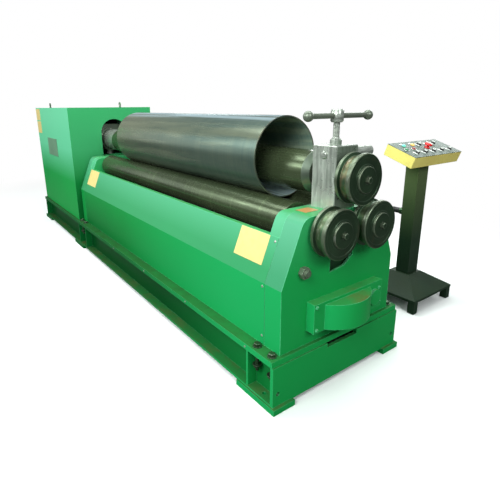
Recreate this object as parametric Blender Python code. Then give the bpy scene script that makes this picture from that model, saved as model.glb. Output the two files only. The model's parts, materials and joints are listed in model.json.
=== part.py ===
"""Three-roll plate rolling machine with section wheels, a rolled shell and a control stand.

Metres, +Z up. X runs along the rolls with the drop end at +X, and the operator's side faces -Y.
Sizes below are measured from the right end of the base (x = 0), its front edge (y = 0) and the
floor (z = 0). The empty named machine then moves the whole model so that the world origin lies
on the floor under the middle of the machine and its control stand.
"""
import math

import bmesh
import bpy
from mathutils import Matrix, Vector

# Clearances
GAP = 0.0003                # between faces that touch
RUNNING = 0.0003            # round a shaft that turns or a block that slides

# Base frame
BASE_LENGTH = 4.680
BASE_WIDTH = 0.976
PAD_HEIGHT = 0.025
PAD_WIDTH = 0.140
PAD_PAST_END = 0.020
PAD_PAST_SIDE = 0.010
PAD_LENGTH = 0.300
PAD_MIDDLE_X = -3.300
CHANNEL_HEIGHT = 0.217
CHANNEL_FLANGE = 0.075
CHANNEL_WALL = 0.012
TOP_PLATE = 0.030
TOP_PLATE_WIDTH = 0.200
END_PLATE = 0.020
BED_RIGHT_X = -2.900
RIGHT_BED_LENGTH = 0.290
STIFFENER_INSET = 0.200
NOTCH_WIDTH = 0.232
NOTCH_DEPTH = 0.024
ANCHOR_RADIUS = 0.012
ANCHOR_HEIGHT = 0.095
ANCHOR_INSET = 0.033

# End frames
FRAME_WIDTH = 0.840
FRAME_DEPTH = 0.190
FRAME_INSET = 0.030         # outer face back from the end of the base
FRAME_TOP = 0.932
FOLD_HEIGHT = 0.604
SLOPE_TOP = 0.890
SLOPE_RUN = 0.117
FRAME_PLATE = 0.030
FRAME_RIM = 0.014
FRAME_SPAN = 3.107          # between the outer faces of the two end frames
COVER_LAP = 0.073
SUMP_FRONT = 0.098          # opening in the right end frame's outer plate, under the wheels
SUMP_REAR = 0.072
SUMP_LOW = 0.620
SUMP_BEND_Y = 0.012
SUMP_BEND_Z = 0.635
SUMP_REAR_LOW = 0.680
SUMP_TOP = 0.770

# Covers
SHEET = 0.003
COVER_TOP = 0.818
COVER_LIP = 0.026

# Cabinet
CABINET_LENGTH = 1.500
CABINET_DEPTH = 0.890
CABINET_TOP = 1.425
CABINET_FRONT = 0.024
CABINET_GAP = 0.029         # between the cabinet and the left end frame
CABINET_WALL = 0.003
SLOT_HALF = 0.143
SLOT_TOP = 1.306
WINDOW_LOW = 0.340
WINDOW_HALF = 0.245
REAR_PANEL_MARGIN = 0.045
DOOR_WIDTH = 0.690
DOOR_LOW = 0.430
DOOR_HIGH = 1.270
DOOR_THICK = 0.010
DOOR_FRAME = 0.020
VENT_LEFT = 0.493
VENT_WIDTH = 0.419
VENT_LOW = 0.886
VENT_HEIGHT = 0.197
VENT_THICK = 0.004
EYE_RADIUS = 0.020
EYE_WIRE = 0.006
EYE_INSET = 0.250

# Rolls
ROLL_HALF_SPACING = 0.1426
LOWER_ROLL_Z = 0.849
LOWER_ROLL_RADIUS = 0.101
TOP_ROLL_Z = 1.091
TOP_ROLL_RADIUS = 0.111
TOP_NECK_RADIUS = 0.105
ROLL_END_GAP = 0.015        # from the lower rolls' bodies to the end frames
LOWER_JOURNAL = 0.055
GEAR_SEAT = 0.045
WHEEL_SEAT = 0.035
TOP_JOURNAL = 0.050
DRIVE_JOURNAL = 0.060
TOP_CHAMFER = 0.030
TOP_BODY_LEFT = 0.020       # from the left frame's inner face to the end of the top roll's body

# Section wheels on the roll ends
WHEEL_RADIUS = 0.1232
WHEEL_BACK_X = -0.015
WHEEL_FLANGE = 0.024
WHEEL_GROOVE = 0.038
WHEEL_WIDTH = 0.089
GROOVE_DEPTH = 0.015
BOSS_RADIUS = 0.052
BOSS_HEIGHT = 0.010
WHEEL_BOLT_RADIUS = 0.017
WHEEL_BOLT_HEIGHT = 0.016

# Rolled shell
SHELL_RADIUS = 0.229
SHELL_WALL = 0.008
SHELL_LEFT = -2.489
SHELL_LENGTH = 2.016

# Drop end
BLOCK_LENGTH = 0.153
BLOCK_WIDTH = 0.157
BLOCK_LOW = 0.800
BLOCK_TOP = 1.241
BLOCK_RIGHT_X = -0.043
BLOCK_BEVEL = 0.004
BUSH_WALL = 0.012
PIN_RADIUS = 0.0278
PIN_NOSE_RADIUS = 0.019
PIN_Z = 1.195
PIN_TIP = 0.198             # out of the block's rear face
PIN_HEAD = 0.010            # out of its front face
PIN_STEP = 0.025
SCREW_RADIUS = 0.017
SCREW_COLLAR_RADIUS = 0.029
SCREW_COLLAR_HEIGHT = 0.030
SCREW_BOSS_RADIUS = 0.0315
SCREW_BOSS_LOW = 1.346
SCREW_BOSS_HEIGHT = 0.062
SHOE_RADIUS = 0.020
SHOE_HEIGHT = 0.004
CLAMP_TRAVEL = 0.006
BAR_RADIUS = 0.013
BAR_HALF_LENGTH = 0.216
BAR_OFFSET = 0.020
BALL_RADIUS = 0.025

# Lift gear
LIFT_SCREW_RADIUS = 0.035
LIFT_SCREW_LOW = 0.380
WORM_WHEEL_Z = 0.420
WORM_WHEEL_RADIUS = 0.178
WORM_WHEEL_TEETH = 36
WORM_WHEEL_FACE = 0.060
WORM_TOOTH = 0.018
HUB_RADIUS = 0.060
HUB_LOW = 0.330
WHEEL_WINDOW_HALF = 0.175
WHEEL_WINDOW_TOP = 0.480
WORM_OFFSET = 0.210
WORM_RADIUS = 0.030
WORM_HALF_LENGTH = 0.055
WORM_RING_SHARES = (0.3, 0.6, 0.9)      # where a ring's flanks and crest end, in shares of a ring
LIFT_SHAFT_RADIUS = 0.0175

# Guard over the right worm wheel
GUARD_BOX_FRONT = 0.022
GUARD_BOX_LEFT = 0.250      # from the roll centre plane to the operator's side
GUARD_BOX_RIGHT = 0.277
GUARD_BOX_LOW = 0.350
GUARD_BOX_HIGH = 0.505
GUARD_DRUM_RADIUS = 0.226
GUARD_DRUM_LOW = 0.354
GUARD_DRUM_HIGH = 0.488
GUARD_WALL = 0.004
GUARD_BOSS_RADIUS = 0.045
GUARD_BOSS_LENGTH = 0.016

# Tie rod
TIE_ROD_RADIUS = 0.018
TIE_ROD_Y = 0.200
TIE_ROD_Z = 0.671
TIE_NUT_RADIUS = 0.031
TIE_NUT_LENGTH = 0.027
TIE_THIN_NUT = 0.020

# Drive
GEAR_MODULE = 0.008
ROLL_GEAR_TEETH = 32
PINION_TEETH = 17
GEAR_FACE = 0.070
GEAR_BACKLASH = 0.0012
PRESSURE_ANGLE = math.radians(20)
DRIVE_FRAME_X = -3.360
DRIVE_FRAME_THICK = 0.100
DRIVE_FRAME_HALF = 0.288
DRIVE_FRAME_HEADROOM = 0.105    # under the cabinet's roof
DRIVE_FRAME_TOP = CABINET_TOP - DRIVE_FRAME_HEADROOM
DRIVE_SLOT_LOW = 0.925
DRIVE_BLOCK_LOW = 0.985
DRIVE_BLOCK_HIGH = 1.250
DRIVE_BLOCK_HALF = 0.130
DRIVE_BLOCK_PROUD = 0.010
DRIVE_FLANGE_RADIUS = 0.125
DRIVE_FLANGE = 0.030
GEAR_FRAME_GAP = 0.020
REDUCER_GAP = 0.040
REDUCER_LENGTH = 0.410
REDUCER_HALF = 0.110
REDUCER_TOP = 0.900
REDUCER_FOOT = 0.022
PINION_SHAFT = 0.035
PINION_SHAFT_DEPTH = 0.060
MOTOR_GAP = 0.070
MOTOR_LENGTH = 0.480
MOTOR_RADIUS = 0.130
MOTOR_CENTRE = 0.160
MOTOR_SHAFT = 0.020
LIFT_MOTOR_LENGTH = 0.210
LIFT_MOTOR_RADIUS = 0.075
LIFT_MOTOR_RIGHT = -3.790

# Control stand
STAND_X = -0.367
STAND_Y = 1.665
STAND_HALF_X = 0.230
STAND_HALF_Y = 0.245
STAND_LEG = 0.050
STAND_RIM_LOW = 0.085
STAND_RIM = 0.017
STAND_PYRAMID_TOP = 0.205
STAND_SHEET = 0.004
COLUMN_X = 0.100
COLUMN_Y = 0.125
COLUMN_WALL = 0.004
CONSOLE_TILT = math.radians(19.5)
CONSOLE_Z = 1.061           # middle of the box's underside
CONSOLE_SHIFT = 0.022
CONSOLE_DEPTH = 0.224
CONSOLE_WIDTH = 0.590
CONSOLE_HEIGHT = 0.076
CONSOLE_WALL = 0.003
PANEL_THICK = 0.003
LAMP_RADIUS = 0.015
LAMP_HEIGHT = 0.012
BUTTON_RADIUS = 0.0135
BUTTON_HEIGHT = 0.010
BUTTON_DEPTH = 0.012
STOP_RADIUS = 0.024
STOP_STEM = 0.011
STOP_HEIGHT = 0.036
KNOB_RADIUS = 0.015
KNOB_HEIGHT = 0.010
KNOB_GRIP = 0.011
BACK_ROW = -0.055
MIDDLE_ROW = 0.002
FRONT_ROW = 0.055
LAMP_PLACES = {"green_lamp": -0.190, "amber_lamp": -0.085}
BUTTON_PLACES = {"start_button": -0.240, "stop_button": -0.155}
STOP_PLACE = 0.010
BACK_KNOBS = (-0.005, 0.095, 0.180)
FRONT_KNOBS = (-0.190, -0.095, 0.010, 0.115, 0.220)

# Conduit from the rear cover to the column
CONDUIT_RADIUS = 0.021
GLAND_RADIUS = 0.032
GLAND_NECK = 0.026
GLAND_LENGTH = 0.045
GLAND_NUT = 0.020
MACHINE_GLAND_X = -1.060
MACHINE_GLAND_Z = 0.460
COLUMN_GLAND_Z = 0.655
CONDUIT_STEP = 0.100

# Derived planes
MID_Y = BASE_WIDTH / 2
CHANNEL_TOP = PAD_HEIGHT + CHANNEL_HEIGHT
BASE_TOP = CHANNEL_TOP + TOP_PLATE
SEAT = BASE_TOP + GAP
FRAME_FRONT = MID_Y - FRAME_WIDTH / 2
FRAME_OUT = -FRAME_INSET
FRAME_IN = FRAME_OUT - FRAME_DEPTH
LEFT_OUT = FRAME_OUT - FRAME_SPAN
LEFT_IN = LEFT_OUT + FRAME_DEPTH
FRONT_ROLL_Y = MID_Y - ROLL_HALF_SPACING
REAR_ROLL_Y = MID_Y + ROLL_HALF_SPACING
CABINET_RIGHT = LEFT_OUT - CABINET_GAP
CABINET_LEFT = CABINET_RIGHT - CABINET_LENGTH
CABINET_REAR = CABINET_FRONT + CABINET_DEPTH
WHEEL_FACE_X = WHEEL_BACK_X + WHEEL_WIDTH
WHEEL_TIP_X = WHEEL_FACE_X + BOSS_HEIGHT + WHEEL_BOLT_HEIGHT
BLOCK_LEFT_X = BLOCK_RIGHT_X - BLOCK_LENGTH
BLOCK_X = BLOCK_RIGHT_X - BLOCK_LENGTH / 2
WORM_Y = MID_Y + WORM_OFFSET
GEAR_RIGHT = DRIVE_FRAME_X - DRIVE_FRAME_THICK / 2 - GEAR_FRAME_GAP
GEAR_LEFT = GEAR_RIGHT - GEAR_FACE
GEAR_CENTRES = GEAR_MODULE * (ROLL_GEAR_TEETH + PINION_TEETH) / 2
PINION_Z = LOWER_ROLL_Z - math.sqrt(GEAR_CENTRES ** 2 - ROLL_HALF_SPACING ** 2)
REDUCER_RIGHT = GEAR_LEFT - REDUCER_GAP
REDUCER_LEFT = REDUCER_RIGHT - REDUCER_LENGTH
SHELL_REACH = SHELL_RADIUS + LOWER_ROLL_RADIUS + GAP
SHELL_Z = LOWER_ROLL_Z + math.sqrt(SHELL_REACH ** 2 - ROLL_HALF_SPACING ** 2)
ORIGIN_X = (max(WHEEL_TIP_X, BLOCK_X + GUARD_DRUM_RADIUS) - BASE_LENGTH - PAD_PAST_END) / 2
ORIGIN_Y = (STAND_Y + STAND_HALF_Y - PAD_PAST_SIDE) / 2

COLOURS = {
    "green_paint": ((0.045, 0.42, 0.16), 0.38, 0.0),
    "roll_steel": ((0.10, 0.11, 0.08), 0.38, 0.85),
    "shell_steel": ((0.13, 0.16, 0.17), 0.35, 0.85),
    "bright_steel": ((0.62, 0.63, 0.60), 0.30, 1.0),
    "dark_steel": ((0.08, 0.09, 0.08), 0.42, 0.8),
    "bronze": ((0.55, 0.38, 0.16), 0.35, 1.0),
    "motor_grey": ((0.20, 0.24, 0.26), 0.50, 0.3),
    "cast_grey": ((0.16, 0.20, 0.20), 0.55, 0.4),
    "stand_black": ((0.025, 0.040, 0.028), 0.45, 0.0),
    "console_yellow": ((0.82, 0.68, 0.12), 0.40, 0.0),
    "panel_grey": ((0.10, 0.13, 0.11), 0.45, 0.3),
    "lamp_green": ((0.05, 0.75, 0.60), 0.25, 0.0),
    "lamp_amber": ((0.95, 0.50, 0.10), 0.25, 0.0),
    "button_green": ((0.04, 0.42, 0.16), 0.35, 0.0),
    "button_red": ((0.42, 0.05, 0.04), 0.35, 0.0),
    "stop_red": ((0.80, 0.10, 0.12), 0.35, 0.0),
    "knob_black": ((0.03, 0.03, 0.03), 0.40, 0.0),
    "conduit_black": ((0.03, 0.035, 0.03), 0.60, 0.0),
}
ROUND = 28                  # sides of a large round piece
MEDIUM_ROUND = 20           # sides of a pin or a screw
SMALL_ROUND = 12            # sides of a small one


def clear_scene():
    for old in list(bpy.data.objects):
        bpy.data.objects.remove(old, do_unlink=True)


def material(name):
    made = bpy.data.materials.get(name)
    if made is None:
        colour, roughness, metallic = COLOURS[name]
        made = bpy.data.materials.new(name)
        made.use_nodes = True
        shader = made.node_tree.nodes["Principled BSDF"]
        shader.inputs["Base Color"].default_value = (*colour, 1.0)
        shader.inputs["Roughness"].default_value = roughness
        shader.inputs["Metallic"].default_value = metallic
    return made


def solid(mesh_data, name="tool"):
    """Turn a bmesh into an object in the scene."""
    bmesh.ops.recalc_face_normals(mesh_data, faces=mesh_data.faces)
    mesh = bpy.data.meshes.new(name)
    mesh_data.to_mesh(mesh)
    mesh_data.free()
    made = bpy.data.objects.new(name, mesh)
    bpy.context.scene.collection.objects.link(made)
    return made


def box(x, y, z, bevel=0.0):
    """A block from three pairs of limits."""
    work = bmesh.new()
    bmesh.ops.create_cube(work, size=1.0)
    size = Vector((x[1] - x[0], y[1] - y[0], z[1] - z[0]))
    middle = Vector((x[0] + x[1], y[0] + y[1], z[0] + z[1])) / 2
    bmesh.ops.scale(work, vec=size, verts=work.verts)
    bmesh.ops.translate(work, vec=middle, verts=work.verts)
    if bevel:
        bmesh.ops.bevel(work, geom=work.edges[:], offset=bevel, segments=1, profile=0.5,
                        affect="EDGES", material=-1)
    return solid(work)


def prism(outline, axis, low, high):
    """Extrude an outline along an axis; its points are the other two coordinates in order."""
    places = {"X": lambda a, b: (low, a, b), "Y": lambda a, b: (a, low, b),
              "Z": lambda a, b: (a, b, low)}[axis]
    along = {"X": (1, 0, 0), "Y": (0, 1, 0), "Z": (0, 0, 1)}[axis]
    work = bmesh.new()
    face = work.faces.new([work.verts.new(places(a, b)) for a, b in outline])
    grown = bmesh.ops.extrude_face_region(work, geom=[face])
    moved = [item for item in grown["geom"] if isinstance(item, bmesh.types.BMVert)]
    bmesh.ops.translate(work, vec=Vector(along) * (high - low), verts=moved)
    return solid(work)


AXIS_TURNS = {
    "X": Matrix(((0, 0, 1), (1, 0, 0), (0, 1, 0))).to_4x4(),
    "Y": Matrix(((0, 1, 0), (0, 0, 1), (1, 0, 0))).to_4x4(),
    "Z": Matrix.Identity(4),
}


def turned(profile, axis, centre, sides=ROUND, ring=False):
    """Turn a profile of (place along the axis, radius) pairs; centre gives the axis's place."""
    work = bmesh.new()
    points = [work.verts.new((radius, 0, along)) for along, radius in profile]
    edges = [work.edges.new(pair) for pair in zip(points, points[1:])]
    if ring:
        edges.append(work.edges.new((points[-1], points[0])))
    bmesh.ops.spin(work, geom=points + edges, cent=(0, 0, 0), axis=(0, 0, 1),
                   angle=2 * math.pi, steps=sides, use_merge=True)
    bmesh.ops.remove_doubles(work, verts=work.verts, dist=1e-6)
    bmesh.ops.transform(work, matrix=AXIS_TURNS[axis], verts=work.verts)
    offset = {"X": (0, centre[0], centre[1]), "Y": (centre[0], 0, centre[1]),
              "Z": (centre[0], centre[1], 0)}[axis]
    bmesh.ops.translate(work, vec=offset, verts=work.verts)
    return solid(work)


def rod(axis, centre, radius, low, high, sides=ROUND):
    return turned([(low, 0), (low, radius), (high, radius), (high, 0)], axis, centre, sides)


def bore(radius, sides=ROUND):
    """The corner radius of a hole whose flats clear a round piece of a radius."""
    return (radius + RUNNING) / math.cos(math.pi / sides)


def combine(target, tool, operation):
    """Add or remove a tool's shape, and drop the tool."""
    step = target.modifiers.new(operation.lower(), "BOOLEAN")
    step.operation = operation
    step.solver = "EXACT"
    step.object = tool
    bpy.context.view_layer.update()
    scene_state = bpy.context.evaluated_depsgraph_get()
    shaped = bpy.data.meshes.new_from_object(target.evaluated_get(scene_state))
    target.modifiers.remove(step)
    target.data = shaped
    bpy.data.objects.remove(tool, do_unlink=True)
    return target


def fuse(target, *tools):
    for tool in tools:
        combine(target, tool, "UNION")
    return target


def cut(target, *tools):
    for tool in tools:
        combine(target, tool, "DIFFERENCE")
    return target


def finish(piece, name, colour, parent, pivot=(0, 0, 0), smooth=False):
    """Name a piece, set its origin on its joint's axis and hang it on its parent empty."""
    piece.name = name
    piece.data.name = name
    piece.data.materials.clear()
    piece.data.materials.append(material(colour))
    piece.data.transform(Matrix.Translation(-Vector(pivot)))
    piece.location = pivot
    piece.parent = parent
    if smooth:
        piece.data.shade_smooth()
        piece.data.set_sharp_from_angle(angle=math.radians(35))
    return piece


def offset_outline(points, distance):
    """Move each side of a closed convex outline inward by a distance."""
    count = len(points)
    area = sum(points[i][0] * points[(i + 1) % count][1] - points[(i + 1) % count][0] * points[i][1]
               for i in range(count))
    turn = 1 if area > 0 else -1
    moved = []
    for i in range(count):
        before, here, after = (Vector(points[(i + k) % count]) for k in (-1, 0, 1))
        first = (here - before).normalized()
        second = (after - here).normalized()
        normal_1 = Vector((-first.y, first.x)) * turn
        normal_2 = Vector((-second.y, second.x)) * turn
        bisector = (normal_1 + normal_2).normalized()
        moved.append(tuple(here + bisector * distance / bisector.dot(normal_1)))
    return moved


def sheet_outline(points, thickness):
    """Close an open bent line into a sheet's section, thickened to its right-hand side."""
    inner = []
    for i, here in enumerate(points):
        here = Vector(here)
        sides = []
        if i > 0:
            sides.append((here - Vector(points[i - 1])).normalized())
        if i < len(points) - 1:
            sides.append((Vector(points[i + 1]) - here).normalized())
        normals = [Vector((side.y, -side.x)) for side in sides]
        bisector = sum(normals, Vector((0, 0))).normalized()
        inner.append(tuple(here + bisector * thickness / bisector.dot(normals[0])))
    return list(points) + inner[::-1]


def across(y):
    """The place as far behind the roll centre plane as y is in front of it."""
    return 2 * MID_Y - y


def slope_y(z):
    """The front face of the sloped upper part at a height."""
    return FRAME_FRONT + SLOPE_RUN * (z - FOLD_HEIGHT) / (SLOPE_TOP - FOLD_HEIGHT)


def frame_outline():
    """The end frames' side view, up the front, over the top and down the rear."""
    slope = Vector((SLOPE_RUN, SLOPE_TOP - FOLD_HEIGHT)).normalized()
    lean = math.atan2(slope.x, slope.y)
    radius = (FRAME_TOP - SLOPE_TOP) / (1 - math.sin(lean))
    start_y = FRAME_FRONT + SLOPE_RUN
    centre = (start_y + radius * math.cos(lean), SLOPE_TOP - radius * math.sin(lean))
    steps = 4
    front = [(FRAME_FRONT, SEAT), (FRAME_FRONT, FOLD_HEIGHT)]
    for step in range(steps + 1):
        angle = math.pi - lean - step / steps * (math.pi / 2 - lean)
        front.append((centre[0] + radius * math.cos(angle), centre[1] + radius * math.sin(angle)))
    return front + [(across(y), z) for y, z in reversed(front)]


def base_frame(parent):
    low = PAD_HEIGHT
    section = [(0, BASE_TOP), (0, CHANNEL_TOP), (CHANNEL_FLANGE - CHANNEL_WALL, CHANNEL_TOP),
               (CHANNEL_FLANGE - CHANNEL_WALL, low + CHANNEL_WALL), (0, low + CHANNEL_WALL), (0, low),
               (CHANNEL_FLANGE, low), (CHANNEL_FLANGE, CHANNEL_TOP), (TOP_PLATE_WIDTH, CHANNEL_TOP),
               (TOP_PLATE_WIDTH, BASE_TOP)]
    tuck = END_PLATE / 2
    inner = TOP_PLATE_WIDTH - tuck
    base = prism(section, "X", -BASE_LENGTH, -tuck)
    rear = prism([(across(y), z) for y, z in section], "X", -BASE_LENGTH, -tuck)
    right_plate = box((-2 * tuck, 0), (0, BASE_WIDTH), (low, CHANNEL_TOP - GAP))
    cut(right_plate, box((-END_PLATE * 2, END_PLATE), (MID_Y - NOTCH_WIDTH / 2, MID_Y + NOTCH_WIDTH / 2),
                         (CHANNEL_TOP - NOTCH_DEPTH, BASE_TOP)))
    web = CHANNEL_FLANGE - CHANNEL_WALL / 2
    left_plate = box((-BASE_LENGTH, END_PLATE - BASE_LENGTH), (web, across(web)),
                     (low + CHANNEL_WALL / 2, CHANNEL_TOP + TOP_PLATE / 2))
    right_bed = box((-RIGHT_BED_LENGTH, -tuck), (inner, across(inner)), (CHANNEL_TOP, BASE_TOP))
    left_bed = box((-BASE_LENGTH, BED_RIGHT_X), (inner, across(inner)), (CHANNEL_TOP, BASE_TOP))
    member = FRAME_SPAN / 2
    middle = box((-member - CHANNEL_FLANGE, -member), (web, across(web)), (low * 2, CHANNEL_TOP + TOP_PLATE / 2))
    fuse(base, right_bed, rear, left_bed, left_plate, middle, right_plate)
    stiffeners = [-STIFFENER_INSET, LEFT_IN + FRAME_INSET, LEFT_OUT, END_PLATE - BASE_LENGTH]
    for x in stiffeners:
        for turn in (lambda y: y, across):
            ends = sorted((turn(PAD_PAST_SIDE / 2), turn(web)))
            fuse(base, box((x - CHANNEL_WALL, x), ends,
                           (low + CHANNEL_WALL / 2, CHANNEL_TOP + TOP_PLATE / 2)))
    pads = [PAD_PAST_END - PAD_LENGTH, PAD_MIDDLE_X, -BASE_LENGTH - PAD_PAST_END]
    for x in pads:
        for turn in (lambda y: y, across):
            ends = sorted((turn(-PAD_PAST_SIDE), turn(PAD_WIDTH - PAD_PAST_SIDE)))
            fuse(base, box((x, x + PAD_LENGTH), ends, (0, low + CHANNEL_WALL / 2)))
    for y in (ANCHOR_INSET, across(ANCHOR_INSET)):
        cut(base, rod("X", (y, ANCHOR_HEIGHT), ANCHOR_RADIUS, -2 * END_PLATE, END_PLATE, SMALL_ROUND))
        cut(base, rod("Z", (-STIFFENER_INSET / 2, y), ANCHOR_RADIUS, -END_PLATE, low * 2, SMALL_ROUND))
    return finish(base, "base_frame", "green_paint", parent)


def end_frame_shell(outer, inner, lap_edge):
    """A welded end frame: two plates joined by a rim, set in behind the covers' laps."""
    outline = frame_outline()
    inward = 1 if inner > outer else -1
    frame = prism(outline, "X", *sorted((outer, lap_edge)))
    fuse(frame, prism(offset_outline(outline, SHEET + GAP), "X",
                      *sorted((lap_edge - inward * GAP, inner))))
    cavity = [(y, z if z > FOLD_HEIGHT / 2 else 0.0) for y, z in offset_outline(outline, FRAME_RIM)]
    cut(frame, prism(cavity, "X", *sorted((outer + inward * FRAME_PLATE, inner - inward * FRAME_PLATE))))
    ends = sorted((outer - inward * FRAME_PLATE, inner + inward * FRAME_PLATE))
    for y in (FRONT_ROLL_Y, REAR_ROLL_Y):
        cut(frame, rod("X", (y, LOWER_ROLL_Z), bore(LOWER_JOURNAL), *ends))
    for centre, radius in (((WORM_Y, WORM_WHEEL_Z), LIFT_SHAFT_RADIUS), ((TIE_ROD_Y, TIE_ROD_Z), TIE_ROD_RADIUS)):
        cut(frame, rod("X", centre, bore(radius, SMALL_ROUND), *ends, SMALL_ROUND))
    return frame


def right_end_frame(parent):
    frame = end_frame_shell(FRAME_OUT, FRAME_IN, FRAME_IN + COVER_LAP)
    shelf_half = WHEEL_WINDOW_HALF + FRAME_RIM
    fuse(frame, box((FRAME_IN + FRAME_PLATE / 2, FRAME_OUT - FRAME_PLATE / 2),
                    (MID_Y - shelf_half, MID_Y + shelf_half), (HUB_LOW - FRAME_PLATE - GAP, HUB_LOW - GAP)))
    cut(frame, box((FRAME_IN - GAP * 10, FRAME_OUT + GAP * 10),
                   (MID_Y - WHEEL_WINDOW_HALF, MID_Y + WHEEL_WINDOW_HALF), (HUB_LOW, WHEEL_WINDOW_TOP)))
    half = BLOCK_WIDTH / 2 + RUNNING
    cut(frame, box((BLOCK_LEFT_X - RUNNING, BLOCK_RIGHT_X + RUNNING), (MID_Y - half, MID_Y + half),
                   (WHEEL_WINDOW_TOP * 1.2, FRAME_TOP + FRAME_RIM)))
    sump = [(MID_Y - SUMP_FRONT, SUMP_LOW), (MID_Y + SUMP_BEND_Y, SUMP_BEND_Z), (MID_Y + SUMP_REAR, SUMP_REAR_LOW),
            (MID_Y + SUMP_REAR, SUMP_TOP), (MID_Y - SUMP_FRONT, SUMP_TOP)]
    cut(frame, prism(sump, "X", FRAME_OUT - FRAME_PLATE - GAP, FRAME_OUT + GAP * 10))
    return finish(frame, "right_end_frame", "green_paint", parent)


def left_end_frame(parent):
    frame = end_frame_shell(LEFT_OUT, LEFT_IN, LEFT_IN - COVER_LAP)
    return finish(frame, "left_end_frame", "green_paint", parent)


def cover(name, turn, parent):
    """A bent sheet between the end frames, flush with their rims, with a lip along its top."""
    line = [(FRAME_FRONT, SEAT), (FRAME_FRONT, FOLD_HEIGHT), (slope_y(COVER_TOP), COVER_TOP)]
    section = [(turn(y), z) for y, z in sheet_outline(line, SHEET)]
    sheet = prism(section, "X", LEFT_IN - COVER_LAP + GAP, FRAME_IN + COVER_LAP - GAP)
    lip = sorted((turn(slope_y(COVER_TOP) + SHEET / 2), turn(slope_y(COVER_TOP) + COVER_LIP)))
    fuse(sheet, box((LEFT_IN + GAP, FRAME_IN - GAP), lip, (COVER_TOP - SHEET * 1.2, COVER_TOP - SHEET * 0.2)))
    return finish(sheet, name, "green_paint", parent)


def tie_rod(parent):
    centre = (TIE_ROD_Y, TIE_ROD_Z)
    piece = rod("X", centre, TIE_ROD_RADIUS, LEFT_OUT - GAP - TIE_THIN_NUT / 2,
                FRAME_OUT + TIE_NUT_LENGTH + FRAME_RIM, SMALL_ROUND)
    fuse(piece, rod("X", centre, TIE_NUT_RADIUS, FRAME_OUT + GAP, FRAME_OUT + GAP + TIE_NUT_LENGTH, 6))
    fuse(piece, rod("X", centre, TIE_NUT_RADIUS, LEFT_OUT - GAP - TIE_THIN_NUT, LEFT_OUT - GAP, 6))
    return finish(piece, "tie_rod", "dark_steel", parent)


def worm_guard(parent):
    back = FRAME_OUT + GAP
    left = MID_Y - GUARD_BOX_LEFT
    right = MID_Y + GUARD_BOX_RIGHT
    axis = (BLOCK_X, MID_Y)
    guard = box((back, GUARD_BOX_FRONT), (left, right), (GUARD_BOX_LOW, GUARD_BOX_HIGH))
    drum = rod("Z", axis, GUARD_DRUM_RADIUS, GUARD_DRUM_LOW, GUARD_DRUM_HIGH, 2 * ROUND)
    cut(drum, box((-1, back + GUARD_WALL), (0, 1), (0, 1)))
    fuse(guard, drum)
    wall = GUARD_WALL
    cut(guard, box((back - wall, GUARD_BOX_FRONT - wall), (left + wall, right - wall),
                   (GUARD_BOX_LOW + wall, GUARD_BOX_HIGH - wall)))
    hollow = rod("Z", axis, GUARD_DRUM_RADIUS - wall, GUARD_DRUM_LOW + wall, GUARD_DRUM_HIGH - wall, 2 * ROUND)
    cut(hollow, box((-1, back), (0, 1), (0, 1)))
    cut(guard, hollow)
    boss = rod("X", (WORM_Y, WORM_WHEEL_Z), GUARD_BOSS_RADIUS, GUARD_BOX_FRONT - wall / 2,
               GUARD_BOX_FRONT + GUARD_BOSS_LENGTH, SMALL_ROUND)
    fuse(guard, boss)
    cut(guard, rod("X", (WORM_Y, WORM_WHEEL_Z), bore(LIFT_SHAFT_RADIUS, SMALL_ROUND), GUARD_BOX_FRONT - wall * 2,
                   GUARD_BOX_FRONT + GUARD_BOSS_LENGTH / 2, SMALL_ROUND))
    return finish(guard, "worm_guard", "green_paint", parent)


def cabinet_shell(parent):
    wall = CABINET_WALL
    shell = box((CABINET_LEFT, CABINET_RIGHT), (CABINET_FRONT, CABINET_REAR), (SEAT, CABINET_TOP))
    cut(shell, box((CABINET_LEFT + wall, CABINET_RIGHT - wall), (CABINET_FRONT + wall, CABINET_REAR - wall),
                   (0, CABINET_TOP - wall)))
    arch_z = SLOT_TOP - SLOT_HALF
    face = (CABINET_RIGHT - 2 * wall, CABINET_RIGHT + wall)
    slot = box(face, (MID_Y - SLOT_HALF, MID_Y + SLOT_HALF), (WINDOW_LOW + wall, arch_z))
    fuse(slot, rod("X", (MID_Y, arch_z), SLOT_HALF, *face))
    cut(shell, slot)
    cut(shell, box(face, (MID_Y - WINDOW_HALF, MID_Y + WINDOW_HALF), (WINDOW_LOW, FRAME_TOP - FRAME_RIM)))
    margin = REAR_PANEL_MARGIN + DOOR_FRAME
    cut(shell, box((CABINET_LEFT + margin, CABINET_RIGHT - margin),
                   (CABINET_REAR - 2 * wall, CABINET_REAR + wall), (SEAT + margin, CABINET_TOP - margin)))
    half = DOOR_WIDTH / 2 - DOOR_FRAME
    middle = (CABINET_FRONT + CABINET_REAR) / 2
    cut(shell, box((CABINET_LEFT - wall, CABINET_LEFT + 2 * wall), (middle - half, middle + half),
                   (DOOR_LOW + DOOR_FRAME, DOOR_HIGH - DOOR_FRAME)))
    for x, y in eye_bolt_places():
        cut(shell, rod("Z", (x, y), bore(EYE_WIRE, SMALL_ROUND), CABINET_TOP - 2 * wall,
                       CABINET_TOP + wall, SMALL_ROUND))
    return finish(shell, "cabinet_shell", "green_paint", parent)


def cabinet_rear_panel(parent):
    panel = box((CABINET_LEFT + REAR_PANEL_MARGIN, CABINET_RIGHT - REAR_PANEL_MARGIN),
                (CABINET_REAR + GAP, CABINET_REAR + GAP + SHEET),
                (SEAT + REAR_PANEL_MARGIN, CABINET_TOP - REAR_PANEL_MARGIN))
    return finish(panel, "cabinet_rear_panel", "green_paint", parent)


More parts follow.
